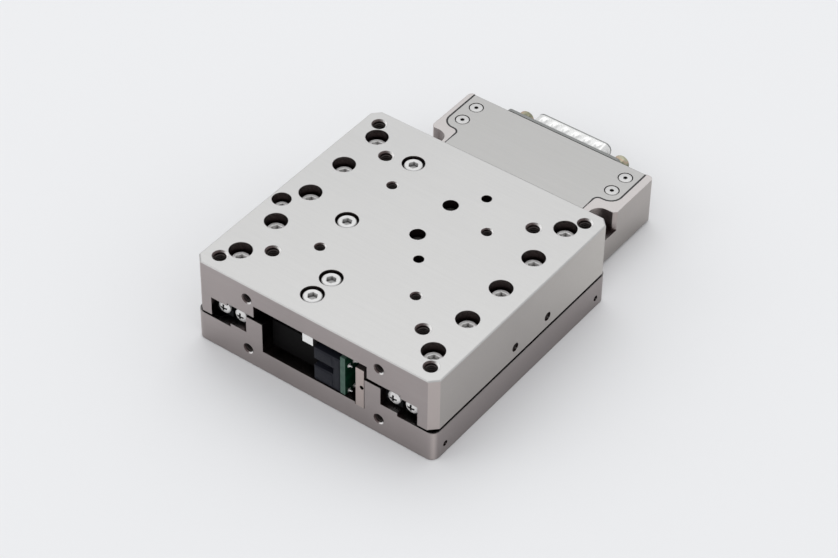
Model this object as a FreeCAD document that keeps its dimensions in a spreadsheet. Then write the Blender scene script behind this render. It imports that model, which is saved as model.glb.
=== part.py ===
import FreeCAD, Part
import os
import re
import Sketcher

# Linear motor stage: a square table on crossed-roller guides, a moving-magnet motor under it and a
# connector box behind the base. The origin is the centre of the base's underside, +Z is up and +Y
# is the direction of travel, from the open front to the connector box.

Vector = FreeCAD.Vector
NEAR_ZERO = 1e-9
SAME_PLACE = 1e-4
LEFT, RIGHT = -1, 1
HEAD_DOWN = FreeCAD.Rotation(Vector(0, 1, 0), 180)
HEAD_TO_BACK = FreeCAD.Rotation(Vector(1, 0, 0), -90)
HEAD_TO_RIGHT = FreeCAD.Rotation(Vector(0, 1, 0), 90)
HEAD_TO_LEFT = FreeCAD.Rotation(Vector(0, 1, 0), -90)

DIMENSIONS = [
    ("stage_side", 80.0, "side of the square base and table"),
    ("stage_high", 28.0, "from the base's underside to the table's top"),
    ("travel", 10.0, "travel of the table each way from the middle"),
    ("base_top", 9.7, "top of the base outside the rails"),
    ("base_corner", 2.5, "radius of the base's upright corners"),
    ("upstand_top", 16.5, "top of the ribs beside the inner rails"),
    ("channel_left", 17.0, "left wall of the base's middle channel"),
    ("channel_right", 17.3, "right wall of the base's middle channel"),
    ("channel_floor", 6.7, "floor of the middle channel"),
    ("pocket_left", 14.2, "left edge of the deeper pocket under the board bar"),
    ("pocket_floor", 6.0, "floor of that pocket"),
    ("table_low", 10.5, "lower edge of the table's side walls"),
    ("table_corner", 2.3, "chamfer of the table's upright corners"),
    ("table_edge", 0.3, "edge break round the table's top"),
    ("shoulder_low", 17.65, "underside of the table beside its channel"),
    ("ceiling", 21.7, "ceiling of the table's channel"),
    ("ceiling_left", 19.8, "left wall of the table's channel"),
    ("ceiling_right", 18.05, "right wall of the table's channel"),
    ("track_x", 28.5, "middle of each roller track"),
    ("rail_gap", 1.0, "gap between the two rails of a pair"),
    ("rail_width", 5.5, "width of one rail"),
    ("rail_low", 10.8, "underside of the rails"),
    ("rail_high", 6.0, "height of the rails"),
    ("rail_long", 75.0, "length of the rails"),
    ("rail_edge", 0.4, "chamfer on the rails' backs"),
    ("rail_pitch", 15.0, "spacing of the rail screws"),
    ("rail_screws", 5.0, "screws in each rail"),
    ("inner_reach", 12.0, "length of the inner rails' screws"),
    ("outer_reach", 10.0, "length of the outer rails' screws"),
    ("inner_screw_x", 25.0, "screw line of the inner rails"),
    ("outer_screw_x", 32.0, "screw line of the outer rails"),
    ("tunnel_half", 1.02, "from the track's middle to each groove wall"),
    ("end_screw_inner_x", 25.65, "end stop screws of the inner rails"),
    ("end_screw_outer_x", 31.4, "end stop screws of the outer rails"),
    ("end_screw_z", 13.75, "height of the end stop screws"),
    ("end_head", 4.0, "head of an end stop screw"),
    ("end_head_top", 2.4, "flat top of that head"),
    ("end_head_high", 1.3, "head height of an end stop screw"),
    ("end_reach", 4.0, "shank of an end stop screw"),
    ("cross_long", 2.0, "cross recess of an end stop screw"),
    ("cross_wide", 0.48, "width of its arms"),
    ("cross_deep", 0.65, "its depth"),
    ("roller", 2.0, "roller diameter"),
    ("roller_long", 1.9, "roller length"),
    ("roller_pitch", 4.0, "spacing of the rollers"),
    ("rollers", 15.0, "rollers in each cage"),
    ("cage_long", 62.0, "length of a cage"),
    ("cage_high", 5.0, "height of a cage"),
    ("cage_thick", 0.5, "thickness of a cage"),
    ("window_wide", 2.12, "width of a cage window"),
    ("window_high", 2.9, "height of a cage window"),
    ("mount_pitch", 70.0, "base mounting holes and outer M4 holes"),
    ("mount_hole", 4.5, "base mounting hole"),
    ("mount_bore", 8.0, "its counterbore"),
    ("mount_bore_deep", 4.5, "depth of that counterbore"),
    ("inner_pitch", 50.0, "inner M4 holes of the table"),
    ("small_pitch", 32.0, "M3 holes of the table"),
    ("open_four", 3.55, "tapped M4 hole"),
    ("open_four_mouth", 4.5, "its chamfered mouth"),
    ("open_four_deep", 8.0, "its depth"),
    ("open_three", 2.7, "tapped M3 hole"),
    ("open_three_mouth", 3.4, "its chamfered mouth"),
    ("open_three_deep", 6.0, "its depth on the front faces"),
    ("open_two", 1.75, "tapped M2 hole"),
    ("open_two_deep", 2.2, "its depth"),
    ("face_hole_x", 22.0, "M3 holes of the front faces"),
    ("face_hole_base_z", 5.1, "their height on the base"),
    ("face_hole_table_z", 23.2, "their height on the table"),
    ("side_hole_z", 3.2, "M2 holes of the base's right side"),
    ("big_shank", 2.96, "M3 screw"),
    ("big_head", 5.5, "M3 cap head"),
    ("big_head_high", 3.0, "M3 cap head height"),
    ("big_key", 2.5, "M3 hexagon socket"),
    ("big_tapped", 3.0, "M3 hole filled by its screw"),
    ("big_clear", 3.4, "M3 clearance hole"),
    ("big_bore", 6.6, "M3 counterbore"),
    ("mid_shank", 2.46, "M2.5 screw"),
    ("mid_head", 4.5, "M2.5 cap head"),
    ("mid_head_high", 2.5, "M2.5 cap head height"),
    ("mid_key", 2.0, "M2.5 hexagon socket"),
    ("mid_tapped", 2.5, "M2.5 hole filled by its screw"),
    ("mid_clear", 2.9, "M2.5 clearance hole"),
    ("mid_bore", 5.5, "M2.5 counterbore"),
    ("tiny_shank", 1.96, "M2 screw"),
    ("tiny_head", 3.8, "M2 cap head"),
    ("tiny_head_high", 2.0, "M2 cap head height"),
    ("tiny_key", 1.5, "M2 hexagon socket"),
    ("tiny_tapped", 2.0, "M2 hole filled by its screw"),
    ("tiny_clear", 2.4, "M2 clearance hole"),
    ("tiny_bore", 4.5, "M2 counterbore"),
    ("pan_shank", 1.96, "M2 pan screw"),
    ("pan_head", 3.4, "M2 pan head"),
    ("pan_head_high", 1.2, "M2 pan head height"),
    ("flush_shank", 1.96, "cover screw"),
    ("flush_head", 3.7, "cover screw head"),
    ("flush_head_high", 0.9, "cover screw head height"),
    ("flush_key", 1.3, "cover screw socket"),
    ("sunk", 0.3, "how deep a screw head sits below the face"),
    ("socket_share", 0.5, "depth of a socket as a share of its head"),
    ("spare", 0.5, "how much deeper a blind hole is than its screw"),
    ("beyond", 1.0, "how far a cut runs past the face it opens"),
    ("outer_bore_deep", 5.8, "counterbores over the outer rails"),
    ("inner_bore", 6.2, "counterbores under the inner rails"),
    ("inner_bore_deep", 3.4, "their depth"),
    ("shallow_bore_deep", 3.5, "counterbores over the yoke and the flag bracket"),
    ("yoke_screw_x", -17.0, "yoke screws"),
    ("yoke_screw_y", -3.0, "front yoke screw"),
    ("yoke_pitch", 30.0, "spacing of the yoke screws"),
    ("yoke_reach", 6.0, "length of the yoke and bracket screws"),
    ("flag_screw_x", -6.0, "flag bracket screws"),
    ("flag_screw_y", -32.0, "front flag bracket screw"),
    ("flag_pitch", 8.0, "spacing of the flag bracket screws"),
    ("scale_screw_x", 1.7, "scale holder screws"),
    ("scale_screw_y", 3.85, "front scale holder screw"),
    ("scale_pitch", 15.05, "spacing of the scale holder screws"),
    ("scale_reach", 6.0, "length of the scale holder screws"),
    ("scale_bore_deep", 4.3, "their counterbores"),
    ("dowel", 3.0, "dowel hole"),
    ("dowel_x", 7.9, "dowel pins of the scale holder"),
    ("dowel_y", -4.0, "front dowel pin"),
    ("dowel_pitch", 31.1, "spacing of the dowel pins"),
    ("dowel_long", 5.0, "length of a dowel pin"),
    ("dowel_low", 19.3, "lower end of a dowel pin"),
    ("dowel_gap", 0.02, "play of a dowel pin in its hole"),
    ("stop_x", -36.5, "stop screw"),
    ("stop_y", -7.0, "stop screw"),
    ("stop_bore_deep", 9.0, "its counterbore"),
    ("stop_reach", 12.0, "its length under the head"),
    ("stop_slot_wide", 3.2, "slot in the base for the stop screw"),
    ("stop_slot_round", 1.55, "radius of the slot's ends"),
    ("stop_slot_deep", 3.0, "depth of the slot"),
    ("preload_y", -4.0, "front preload screw"),
    ("preload_pitch", 15.0, "spacing of the preload screws"),
    ("preload_z", 14.2, "height of the preload screws"),
    ("preload_long", 3.6, "length of a preload screw"),
    ("preload_key", 1.3, "socket of a preload screw"),
    ("preload_width", 2.66, "preload screw"),
    ("preload_sunk", 1.8, "how deep a preload screw sits below the side"),
    ("motor_y", 11.5, "middle of the magnets and the scale"),
    ("yoke_long", 46.0, "length of the magnet yoke"),
    ("yoke_left", -19.4, "left edge of the yoke's top plate"),
    ("yoke_back", -16.4, "outer face of the yoke's web"),
    ("yoke_web", 3.2, "thickness of the yoke's web"),
    ("yoke_right", -3.9, "open edge of the yoke"),
    ("yoke_top_low", 17.3, "underside of the yoke's top plate"),
    ("yoke_floor_top", 11.5, "top of the yoke's lower plate"),
    ("yoke_low", 9.3, "underside of the yoke"),
    ("magnet_wide", 8.4, "magnet, across the travel"),
    ("magnet_long", 7.0, "magnet, along the travel"),
    ("magnet_high", 1.6, "magnet height"),
    ("magnet_pitch", 7.5, "magnet spacing"),
    ("magnets", 6.0, "magnets in each row"),
    ("magnet_gap", 0.2, "gap between the yoke's web and the magnets"),
    ("coil_front", -36.0, "front face of the coil block"),
    ("coil_long", 73.0, "length of the coil block"),
    ("coil_end_long", 11.0, "length of its end block"),
    ("coil_end_top", 15.9, "top of its end block"),
    ("coil_right", -1.5, "right face of the coil block"),
    ("coil_wall", 2.1, "thickness of its upright wall"),
    ("coil_foot_left", -15.5, "left edge of its foot"),
    ("coil_foot_top", 8.9, "top of its foot"),
    ("coil_blade_left", -12.7, "edge of the coil blade between the magnets"),
    ("coil_blade_low", 13.5, "underside of the coil blade"),
    ("coil_blade_high", 1.8, "thickness of the coil blade"),
    ("coil_gap", 0.4, "gap between the coil block and the channel's left wall"),
    ("coil_screw_x", -9.0, "coil screws"),
    ("coil_screw_pitch", 60.0, "spacing of the coil screws and of the bar screws"),
    ("coil_screw_reach", 5.9, "length of the coil screws"),
    ("winding_wide", 7.8, "outside of a winding across the travel"),
    ("winding_long", 8.6, "outside of a winding along the travel"),
    ("winding_wire", 2.0, "width of a winding's turns"),
    ("winding_pitch", 9.2, "spacing of the windings"),
    ("windings", 6.0, "windings in the blade"),
    ("winding_corner", 1.4, "chamfer of a winding's corners"),
    ("winding_side", 0.35, "blade left beside the windings"),
    ("winding_start", 1.2, "blade left between the end block and the first winding"),
    ("winding_sunk", 0.1, "how far a winding stays inside the blade's faces"),
    ("bar_left", 14.4, "left face of the board bar"),
    ("bar_thick", 2.7, "thickness of the board bar"),
    ("bar_top", 19.5, "top of the board bar"),
    ("bar_screw_x", 15.75, "bar screws"),
    ("bar_screw_reach", 7.8, "length of the bar screws"),
    ("bar_hole", 1.3, "small hole in the bar's front"),
    ("bar_hole_x", 16.4, "small hole in the bar's front"),
    ("bar_hole_z", 13.2, "small hole in the bar's front"),
    ("bar_hole_deep", 4.0, "its depth"),
    ("board_left", 9.1, "left face of the sensor board"),
    ("board_thick", 1.6, "thickness of the boards"),
    ("board_front", -39.7, "front edge of the sensor board"),
    ("board_back", 37.0, "rear edge of the sensor board"),
    ("board_low", 6.9, "lower edge of the sensor board"),
    ("board_top", 19.9, "upper edge of the sensor board at the front"),
    ("board_step", -23.0, "where the board's upper edge steps down"),
    ("board_step_top", 17.0, "upper edge of the board behind the step"),
    ("board_screw_y", -26.0, "front board screw"),
    ("board_screw_pitch", 57.0, "spacing of the board screws"),
    ("board_screw_z", 9.8, "height of the board screws"),
    ("board_reach", 5.0, "length of the board screws"),
    ("boss_wide", 4.4, "bosses between the board and the bar"),
    ("sensor_left", 0.3, "left face of the limit sensor"),
    ("sensor_top", 18.4, "top of the limit sensor"),
    ("sensor_long", 5.2, "length of the limit sensor"),
    ("sensor_slot_low", 12.0, "lower side of its slot"),
    ("sensor_slot_high", 14.4, "upper side of its slot"),
    ("sensor_slot_end", 6.85, "closed end of its slot"),
    ("pad_wide", 1.3, "soldered lead"),
    ("pad_high", 0.6, "height of a soldered lead"),
    ("pad_y", -37.9, "front leads"),
    ("pad_z", 7.4, "lower leads"),
    ("pad_pitch_y", 2.2, "spacing of the leads"),
    ("pad_pitch_z", 9.0, "spacing of the leads"),
    ("head_left", 4.6, "face of the encoder head"),
    ("head_long", 13.0, "length of the encoder head"),
    ("head_low", 9.0, "underside of the encoder head"),
    ("head_high", 7.5, "height of the encoder head"),
    ("head_window", 4.0, "window of the encoder head"),
    ("head_window_high", 3.0, "height of that window"),
    ("head_window_deep", 0.4, "its depth"),
    ("holder_left", 0.2, "left face of the scale holder"),
    ("holder_wall", 3.7, "thickness of its wall"),
    ("holder_right", 10.2, "right edge of its flange"),
    ("holder_flange_low", 19.2, "underside of its flange"),
    ("holder_low", 9.6, "lower edge of its wall"),
    ("holder_long", 39.0, "length of the scale holder"),
    ("scale_thick", 0.3, "thickness of the scale"),
    ("scale_low", 10.2, "lower edge of the scale"),
    ("scale_high", 5.0, "height of the scale"),
    ("scale_long", 36.0, "length of the scale"),
    ("bracket_low", 18.4, "underside of the flag bracket"),
    ("bracket_left", -8.8, "left face of the flag bracket"),
    ("bracket_front", -36.2, "front of its body"),
    ("bracket_back", -20.0, "rear of its body"),
    ("nose_left", -3.5, "left face of the bracket's nose"),
    ("nose_front", -39.6, "front of the bracket's nose"),
    ("flag_thick", 0.6, "thickness of the flag plate"),
    ("flag_left", -4.6, "left edge of its flange"),
    ("flag_right", -0.1, "right face of its web"),
    ("flag_front", -33.5, "front edge of the flag plate"),
    ("flag_long", 11.5, "length of the flag plate"),
    ("flag_low", 12.9, "underside of its blade"),
    ("flag_tip", 6.0, "tip of its blade"),
    ("flag_fix_x", -2.6, "flag plate screws"),
    ("flag_fix_y", -31.2, "front flag plate screw"),
    ("flag_fix_pitch", 6.4, "spacing of the flag plate screws"),
    ("flag_fix_reach", 2.8, "length of the flag plate screws"),
    ("box_half", 32.0, "half of the connector box's width"),
    ("box_back", 75.4, "rear face of the box"),
    ("box_low", 0.5, "underside of the box"),
    ("box_top", 15.5, "top of the box"),
    ("box_step_top", 8.7, "top of the low front of the box"),
    ("box_step_back", 51.0, "front face of the high part"),
    ("box_corner", 1.5, "radius of the box's rear corners"),
    ("cavity_half", 21.5, "half of the cavity's width"),
    ("cavity_front", 53.5, "front wall of the cavity"),
    ("cavity_back", 73.4, "rear wall of the cavity"),
    ("cavity_floor", 2.0, "floor of the cavity"),
    ("lug_x", 29.0, "lug holes of the box"),
    ("lug_y", 52.3, "lug holes of the box"),
    ("lug_round", 3.5, "radius of the recess round a lug hole"),
    ("lug_wall", 55.8, "flat wall behind a lug hole"),
    ("lug_chamfer", 1.0, "corner break beside the recess"),
    ("box_screw_x", 19.5, "screws that hold the box"),
    ("box_flange", 3.0, "thickness of the box's front flange"),
    ("box_screw_reach", 8.0, "length of those screws"),
    ("key_notch", 7.0, "notch that frees a box screw's head"),
    ("cable_half", 9.0, "half of the cable notch"),
    ("cable_low", 5.6, "floor of the cable notch"),
    ("cover_thick", 1.5, "thickness of the box's cover"),
    ("cover_x", -0.5, "middle of the cover"),
    ("cover_half", 29.75, "half of the cover's width at the rear"),
    ("cover_neck", 23.75, "half of the cover's width at the front"),
    ("cover_step", 59.05, "where the cover widens"),
    ("cover_front", 52.0, "front edge of the cover"),
    ("cover_back_gap", 0.3, "gap between the cover and the connector flange"),
    ("cover_round", 3.5, "outer corner of the cover's step"),
    ("cover_hollow", 1.8, "inner corner of the cover's step"),
    ("seam", 0.25, "gap round the cover"),
    ("cover_screw_x", 26.0, "cover screws"),
    ("cover_screw_y", 63.6, "front cover screws"),
    ("cover_screw_pitch", 6.9, "spacing of the cover screws along a side"),
    ("cover_bore", 4.4, "recess of a cover screw"),
    ("cover_reach", 4.0, "length of the cover screws"),
    ("plug_x", 0.5, "middle of the connector"),
    ("plug_z", 9.25, "height of the connector's middle"),
    ("flange_wide", 39.2, "connector flange"),
    ("flange_high", 12.4, "connector flange"),
    ("flange_thick", 1.0, "connector flange"),
    ("flange_corner", 1.2, "corner of the connector flange"),
    ("shell_wide", 26.0, "connector shell, at its wide side"),
    ("shell_high", 8.4, "connector shell"),
    ("shell_slant", 1.5, "how far each shell side leans in"),
    ("shell_corner", 2.0, "outer corner of the connector shell"),
    ("shell_cut", 1.1, "what is cut off its inner corners"),
    ("shell_wall", 0.5, "shell thickness"),
    ("shell_deep", 6.0, "how far the shell stands out"),
    ("core_gap", 0.1, "gap between the shell and the core"),
    ("core_back", 77.6, "face that the pins stand on"),
    ("cutout_half", 13.4, "half of the cut-out for the connector"),
    ("cutout_low", 4.5, "floor of that cut-out"),
    ("pin_wide", 1.0, "connector pin"),
    ("pin_pitch", 2.77, "spacing of the pins"),
    ("pin_rows", 2.84, "spacing of the two rows"),
    ("pin_tip", 81.8, "tips of the pins"),
    ("link_board_back", 67.5, "rear face of the link board"),
    ("link_board_half", 19.0, "half of the link board's width"),
    ("link_board_low", 2.6, "lower edge of the link board"),
    ("link_board_top", 13.6, "upper edge of the link board"),
    ("jack_x", 16.65, "jack screws"),
    ("jack_across", 4.8, "jack screws across the flats"),
    ("jack_tip", 82.5, "outer end of the jack screws"),
    ("jack_stud", 2.8, "stud of a jack screw"),
    ("jack_play", 0.04, "play of a stud in its hole"),
    ("jack_hole", 2.5, "threaded hole of a jack screw"),
    ("jack_hole_deep", 4.5, "its depth"),
    ("jack_reach", 5.0, "length of the stud"),
    ("lead_wide", 1.0, "motor lead"),
    ("lead_pitch", 1.4, "spacing of the motor leads"),
    ("lead_x", -6.5, "first motor lead"),
    ("lead_z", 7.7, "height of the motor leads"),
    ("ribbon_left", 4.0, "left edge of the sensor ribbon"),
    ("ribbon_wide", 4.6, "width of the sensor ribbon"),
    ("ribbon_thick", 0.3, "thickness of the sensor ribbon"),
    ("ribbon_low", 7.3, "underside of the sensor ribbon"),
    ("ribbon_front", 31.0, "front end of the sensor ribbon"),
]
NAMES = {name for name, _, _ in DIMENSIONS}

doc = FreeCAD.newDocument("LinearMotorStage")
dims = doc.addObject("Spreadsheet::Sheet", "dims")
for row, (name, number, meaning) in enumerate(DIMENSIONS, start=1):
    dims.set(f"A{row}", meaning)
    dims.set(f"B{row}", str(number))
    dims.setAlias(f"B{row}", name)
doc.recompute()

pieces = []


def formula(text):
    """Point the plain names of a formula at the sheet's cells."""
    return re.sub(r"[a-z][a-z_]*", lambda word: "dims." + word[0] if word[0] in NAMES else word[0], text)


def size(text):
    """The number that a formula gives now."""
    return float(dims.evalExpression(formula(text)))


def bind(thing, field, text):
    thing.setExpression(field, formula(text))


def new_body(label, x="0", y="0", z="0", turn=None):
    """An empty body with its own label and a placement bound to the sheet."""
    body = doc.addObject("PartDesign::Body", label)
    body.Label = label
    if turn is not None:
        body.Placement = FreeCAD.Placement(Vector(), turn)
    for axis, text in zip("xyz", (x, y, z)):
        bind(body, f"Placement.Base.{axis}", text)
    pieces.append(body)
    return body


def datum(body, role):
    """The body's own origin plane or axis of that role."""
    return [item for item in body.Origin.OriginFeatures if item.Role == role][0]


def sketch(body, role, lift="0"):
    """A sketch on an origin plane, lifted along that plane's normal."""
    plan = body.newObject("Sketcher::SketchObject", f"{body.Label}_sketch")
    plan.AttachmentSupport = [(datum(body, role), "")]
    plan.MapMode = "FlatFace"
    bind(plan, "AttachmentOffset.Base.z", lift)
    return plan


def hold_point(plan, geometry, point, across, upward):
    """Tie a sketch point to two formulas measured from the sketch's origin."""
    for kind, axis, text in (("DistanceX", -2, across), ("DistanceY", -1, upward)):
        distance = size(text)
        if abs(distance) < NEAR_ZERO:
            plan.addConstraint(Sketcher.Constraint("PointOnObject", geometry, point, axis))
        else:
            index = plan.addConstraint(Sketcher.Constraint(kind, -1, 1, geometry, point, distance))
            bind(plan, f"Constraints[{index}]", text)


def outline(plan, corners):
    """A closed run of straight edges through corners given as pairs of formulas."""
    spots = [Vector(size(across), size(upward), 0) for across, upward in corners]
    first = plan.GeometryCount
    count = len(spots)
    for number in range(count):
        plan.addGeometry(Part.LineSegment(spots[number], spots[(number + 1) % count]), False)
    for number in range(count):
        following = first + (number + 1) % count
        plan.addConstraint(Sketcher.Constraint("Coincident", first + number, 2, following, 1))
        hold_point(plan, first + number, 1, *corners[number])


def rectangle(plan, left, low, right, high):
    outline(plan, [(left, low), (right, low), (right, high), (left, high)])


def circles(plan, centres, width):
    """Circles of one diameter round centres given as pairs of formulas."""
    for across, upward in centres:
        centre = Vector(size(across), size(upward), 0)
        index = plan.addGeometry(Part.Circle(centre, Vector(0, 0, 1), size(width) / 2), False)
        hold_point(plan, index, 3, across, upward)
        ring = plan.addConstraint(Sketcher.Constraint("Diameter", index, size(width)))
        bind(plan, f"Constraints[{ring}]", width)


def settle(body, feature, before, sign):
    """Recompute a feature and see that it added or removed material."""
    body.Tip = feature
    doc.recompute()
    change = feature.Shape.Volume - before
    if "Invalid" in feature.State or "Error" in feature.State or change * sign <= 0:
        raise RuntimeError(f"{body.Label}: {feature.Name} {feature.State} changed {change:.3f} mm3")
    return feature


def volume(body):
    return body.Shape.Volume if body.Tip is not None and not body.Shape.isNull() else 0.0


def pad(body, plan, length, both=False, reverse=False):
    before = volume(body)
    feature = body.newObject("PartDesign::Pad", f"{body.Label}_pad")
    feature.Profile = plan
    bind(feature, "Length", length)
    feature.SideType = "Symmetric" if both else "One side"
    feature.Reversed = reverse
    return settle(body, feature, before, 1)


def cut(body, plan, depth=None, both=False, reverse=False):
    """A pocket, through everything when it has no depth."""
    before = volume(body)
    feature = body.newObject("PartDesign::Pocket", f"{body.Label}_pocket")
    feature.Profile = plan
    feature.SideType = "Symmetric" if both else "One side"
    feature.Reversed = reverse
    if depth is None:
        feature.Type = "ThroughAll"
    else:
        bind(feature, "Length", depth)
    return settle(body, feature, before, -1)


def drill(body, plan, width, depth=None, bore=None, mouth=None, reverse=False):
    """Holes on a sketch's circles, with a counterbore (width, depth) or a chamfered mouth."""
    doc.recompute()
    before = volume(body)
    feature = body.newObject("PartDesign::Hole", f"{body.Label}_hole")
    feature.Profile = plan
    feature.ThreadType = "None"
    feature.Reversed = reverse
    feature.DrillPoint = "Flat"
    bind(feature, "Diameter", width)
    if depth is None:
        feature.DepthType = "ThroughAll"
    else:
        feature.DepthType = "Dimension"
        bind(feature, "Depth", depth)
    if bore is not None:
        feature.HoleCutType = "Counterbore"
        feature.HoleCutCustomValues = True
        bind(feature, "HoleCutDiameter", bore[0])
        bind(feature, "HoleCutDepth", bore[1])
    if mouth is not None:
        feature.HoleCutType = "Countersink"
        feature.HoleCutCustomValues = True
        feature.HoleCutCountersinkAngle = 90
        bind(feature, "HoleCutDiameter", mouth)
    return settle(body, feature, before, -1)


def edges_along(body, line, places):
    """Names of the edges along one axis at the given pairs of formulas for the other two."""
    along, first, second = {"Z": (Vector(0, 0, 1), "x", "y"), "Y": (Vector(0, 1, 0), "x", "z")}[line]
    spots = [(size(a), size(b)) for a, b in places]
    names = []
    for number, edge in enumerate(body.Tip.Shape.Edges, start=1):
        ends = [vertex.Point for vertex in edge.Vertexes]
        if len(ends) != 2 or (ends[0] - ends[1]).cross(along).Length > SAME_PLACE:
            continue
        here = getattr(ends[0], first), getattr(ends[0], second)
        if any(abs(here[0] - a) + abs(here[1] - b) < SAME_PLACE for a, b in spots):
            names.append(f"Edge{number}")
    return names


def level_edges(body, height):
    """Names of the straight edges at one height on the body's outside."""
    names = []
    for number, edge in enumerate(body.Tip.Shape.Edges, start=1):
        ends = [vertex.Point for vertex in edge.Vertexes]
        if len(ends) == 2 and all(abs(end.z - size(height)) < SAME_PLACE for end in ends):
            names.append(f"Edge{number}")
    return names


def soften(body, kind, edges, amount, sign=-1):
    """A fillet or a chamfer on named edges of the body's tip."""
    before, solid = volume(body), body.Tip
    feature = body.newObject(f"PartDesign::{kind}", f"{body.Label}_{kind.lower()}")
    feature.Base = (solid, edges)
    bind(feature, "Radius" if kind == "Fillet" else "Size", amount)
    return settle(body, feature, before, sign)


def step(body, transform, axis, spacing, count):
    """Set one straight step of a pattern."""
    transform.Direction = (datum(body, axis), [""])
    transform.Mode = "Spacing"
    bind(transform, "Offset", spacing)
    bind(transform, "Occurrences", count)


def adds(feature):
    """1 where a feature adds material, -1 where it removes it."""
    return -1 if feature.isDerivedFrom("PartDesign::Pocket") else 1


def repeat(body, originals, axis, spacing, count):
    """Repeat features along one of the body's axes."""
    before = volume(body)
    pattern = body.newObject("PartDesign::LinearPattern", f"{body.Label}_pattern")
    pattern.Originals = originals
    step(body, pattern, axis, spacing, count)
    return settle(body, pattern, before, adds(originals[0]))


def repeat_twice(body, originals, first, second):
    """Repeat features in a grid; a step without a spacing is a mirror plane."""
    before = volume(body)
    pattern = body.newObject("PartDesign::MultiTransform", f"{body.Label}_grid")
    parts = []
    for rule in (first, second):
        if len(rule) == 1:
            part = body.newObject("PartDesign::Mirrored", f"{body.Label}_mirror")
            part.MirrorPlane = (datum(body, rule[0]), [""])
        else:
            part = body.newObject("PartDesign::LinearPattern", f"{body.Label}_line")
            step(body, part, *rule)
        parts.append(part)
    pattern.Originals = originals
    pattern.Transformations = parts
    return settle(body, pattern, before, adds(originals[0]))


def turned(body, role, corners):
    """A solid of revolution about the sketch's upright axis."""
    plan = sketch(body, role)
    outline(plan, corners)
    feature = body.newObject("PartDesign::Revolution", f"{body.Label}_turned")
    feature.Profile = plan
    feature.ReferenceAxis = (plan, ["V_Axis"])
    feature.Angle = 360
    return settle(body, feature, 0.0, 1)


def even_sided(plan, width, sides, x="0", y="0"):
    """A closed outline of even sides with its corners on a circle of the given diameter."""
    angles = [f"{number} * 360 deg / {sides}" for number in range(sides)]
    outline(plan, [(f"{x} + ({width}) / 2 * cos({angle})", f"{y} + ({width}) / 2 * sin({angle})")
                   for angle in angles])


def shank_holes(body, plane, lift, width, place, depth=None, reverse=False, row=None, grid=None):
    """Holes for hidden shanks: like the shanks they have flat sides, to spare facets."""
    plan = sketch(body, plane, lift)
    even_sided(plan, width, SHANK_SIDES, *place)
    hole = cut(body, plan, depth, reverse=reverse)
    if row is not None:
        repeat(body, [hole], *row)
    if grid is not None:
        repeat_twice(body, [hole], *grid)


def cross(plan, long, wide):
    """A cross recess round the sketch's origin: two bars of one width over each other."""
    a, b = f"{long} / 2", f"{wide} / 2"
    quarter = [(b, b), (b, a), (f"-{b}", a), (f"-{b}", b), (f"-{a}", b), (f"-{a}", f"-{b}")]
    rest = [(f"-{b}", f"-{b}"), (f"-{b}", f"-{a}"), (b, f"-{a}"), (b, f"-{b}"), (a, f"-{b}"), (a, b)]
    outline(plan, quarter + rest)


def socket(body, across, lift, depth):
    """A hexagon socket round the origin, cut downwards."""
    plan = sketch(body, "XY_Plane", lift)
    even_sided(plan, f"{across} * 2 / sqrt(3)", 6)
    return cut(body, plan, depth)


def screw(label, kind, reach, place, turn=None, row=None, grid=None, seen=True):
    """Like screws in one node: bearing face at the place, head along +Z before the turn."""
    body = new_body(label, *place, turn=turn)
    plan = sketch(body, "XY_Plane")
    circles(plan, [("0", "0")], f"{kind}_head")
    features = [pad(body, plan, f"{kind}_head_high")]
    plan = sketch(body, "XY_Plane")
    even_sided(plan, f"{kind}_shank", SHANK_SIDES)
    features.append(pad(body, plan, reach, reverse=True))
    if seen:
        high = f"{kind}_head_high"
        features.append(socket(body, f"{kind}_key", high, f"{high} * socket_share"))
    if row is not None:
        repeat(body, features, *row)
    if grid is not None:
        repeat_twice(body, features, *grid)


def both_sides(texts):
    """Mirror pairs of formulas left and right."""
    return [pair for x, y in texts for pair in ((x, y), (f"-({x})", y))]


def square(pitch):
    """The four corners of a square hole pattern."""
    return both_sides([(f"{pitch} / 2", f"{pitch} / 2"), (f"{pitch} / 2", f"-{pitch} / 2")])


def line_of(x, start, spacing, count):
    """Places along the travel at one x."""
    return [(x, f"{start} + {number} * {spacing}") for number in range(count)]


RAIL_SCREWS = int(size("rail_screws"))
SHANK_SIDES = 8
ROLLER_SIDES = 12
PIN_SIDES = 8
RAIL_START = "-rail_pitch * (rail_screws - 1) / 2"
RAIL_ROW = ("Y_Axis", "rail_pitch", "rail_screws")
BOTH_RAILS = (RAIL_ROW, ("YZ_Plane",))
FIRST_COVER_SCREW = ("cover_x - cover_screw_x", "cover_screw_y")
COVER_SCREWS = (("X_Axis", "2 * cover_screw_x", "2"), ("Y_Axis", "cover_screw_pitch", "2"))


def inside(hand, depth):
    """x from the track's middle to a plane of a rail: hand 1 is the inner rail, -1 the outer."""
    return f"(track_x - {hand} * ({depth}))"


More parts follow.
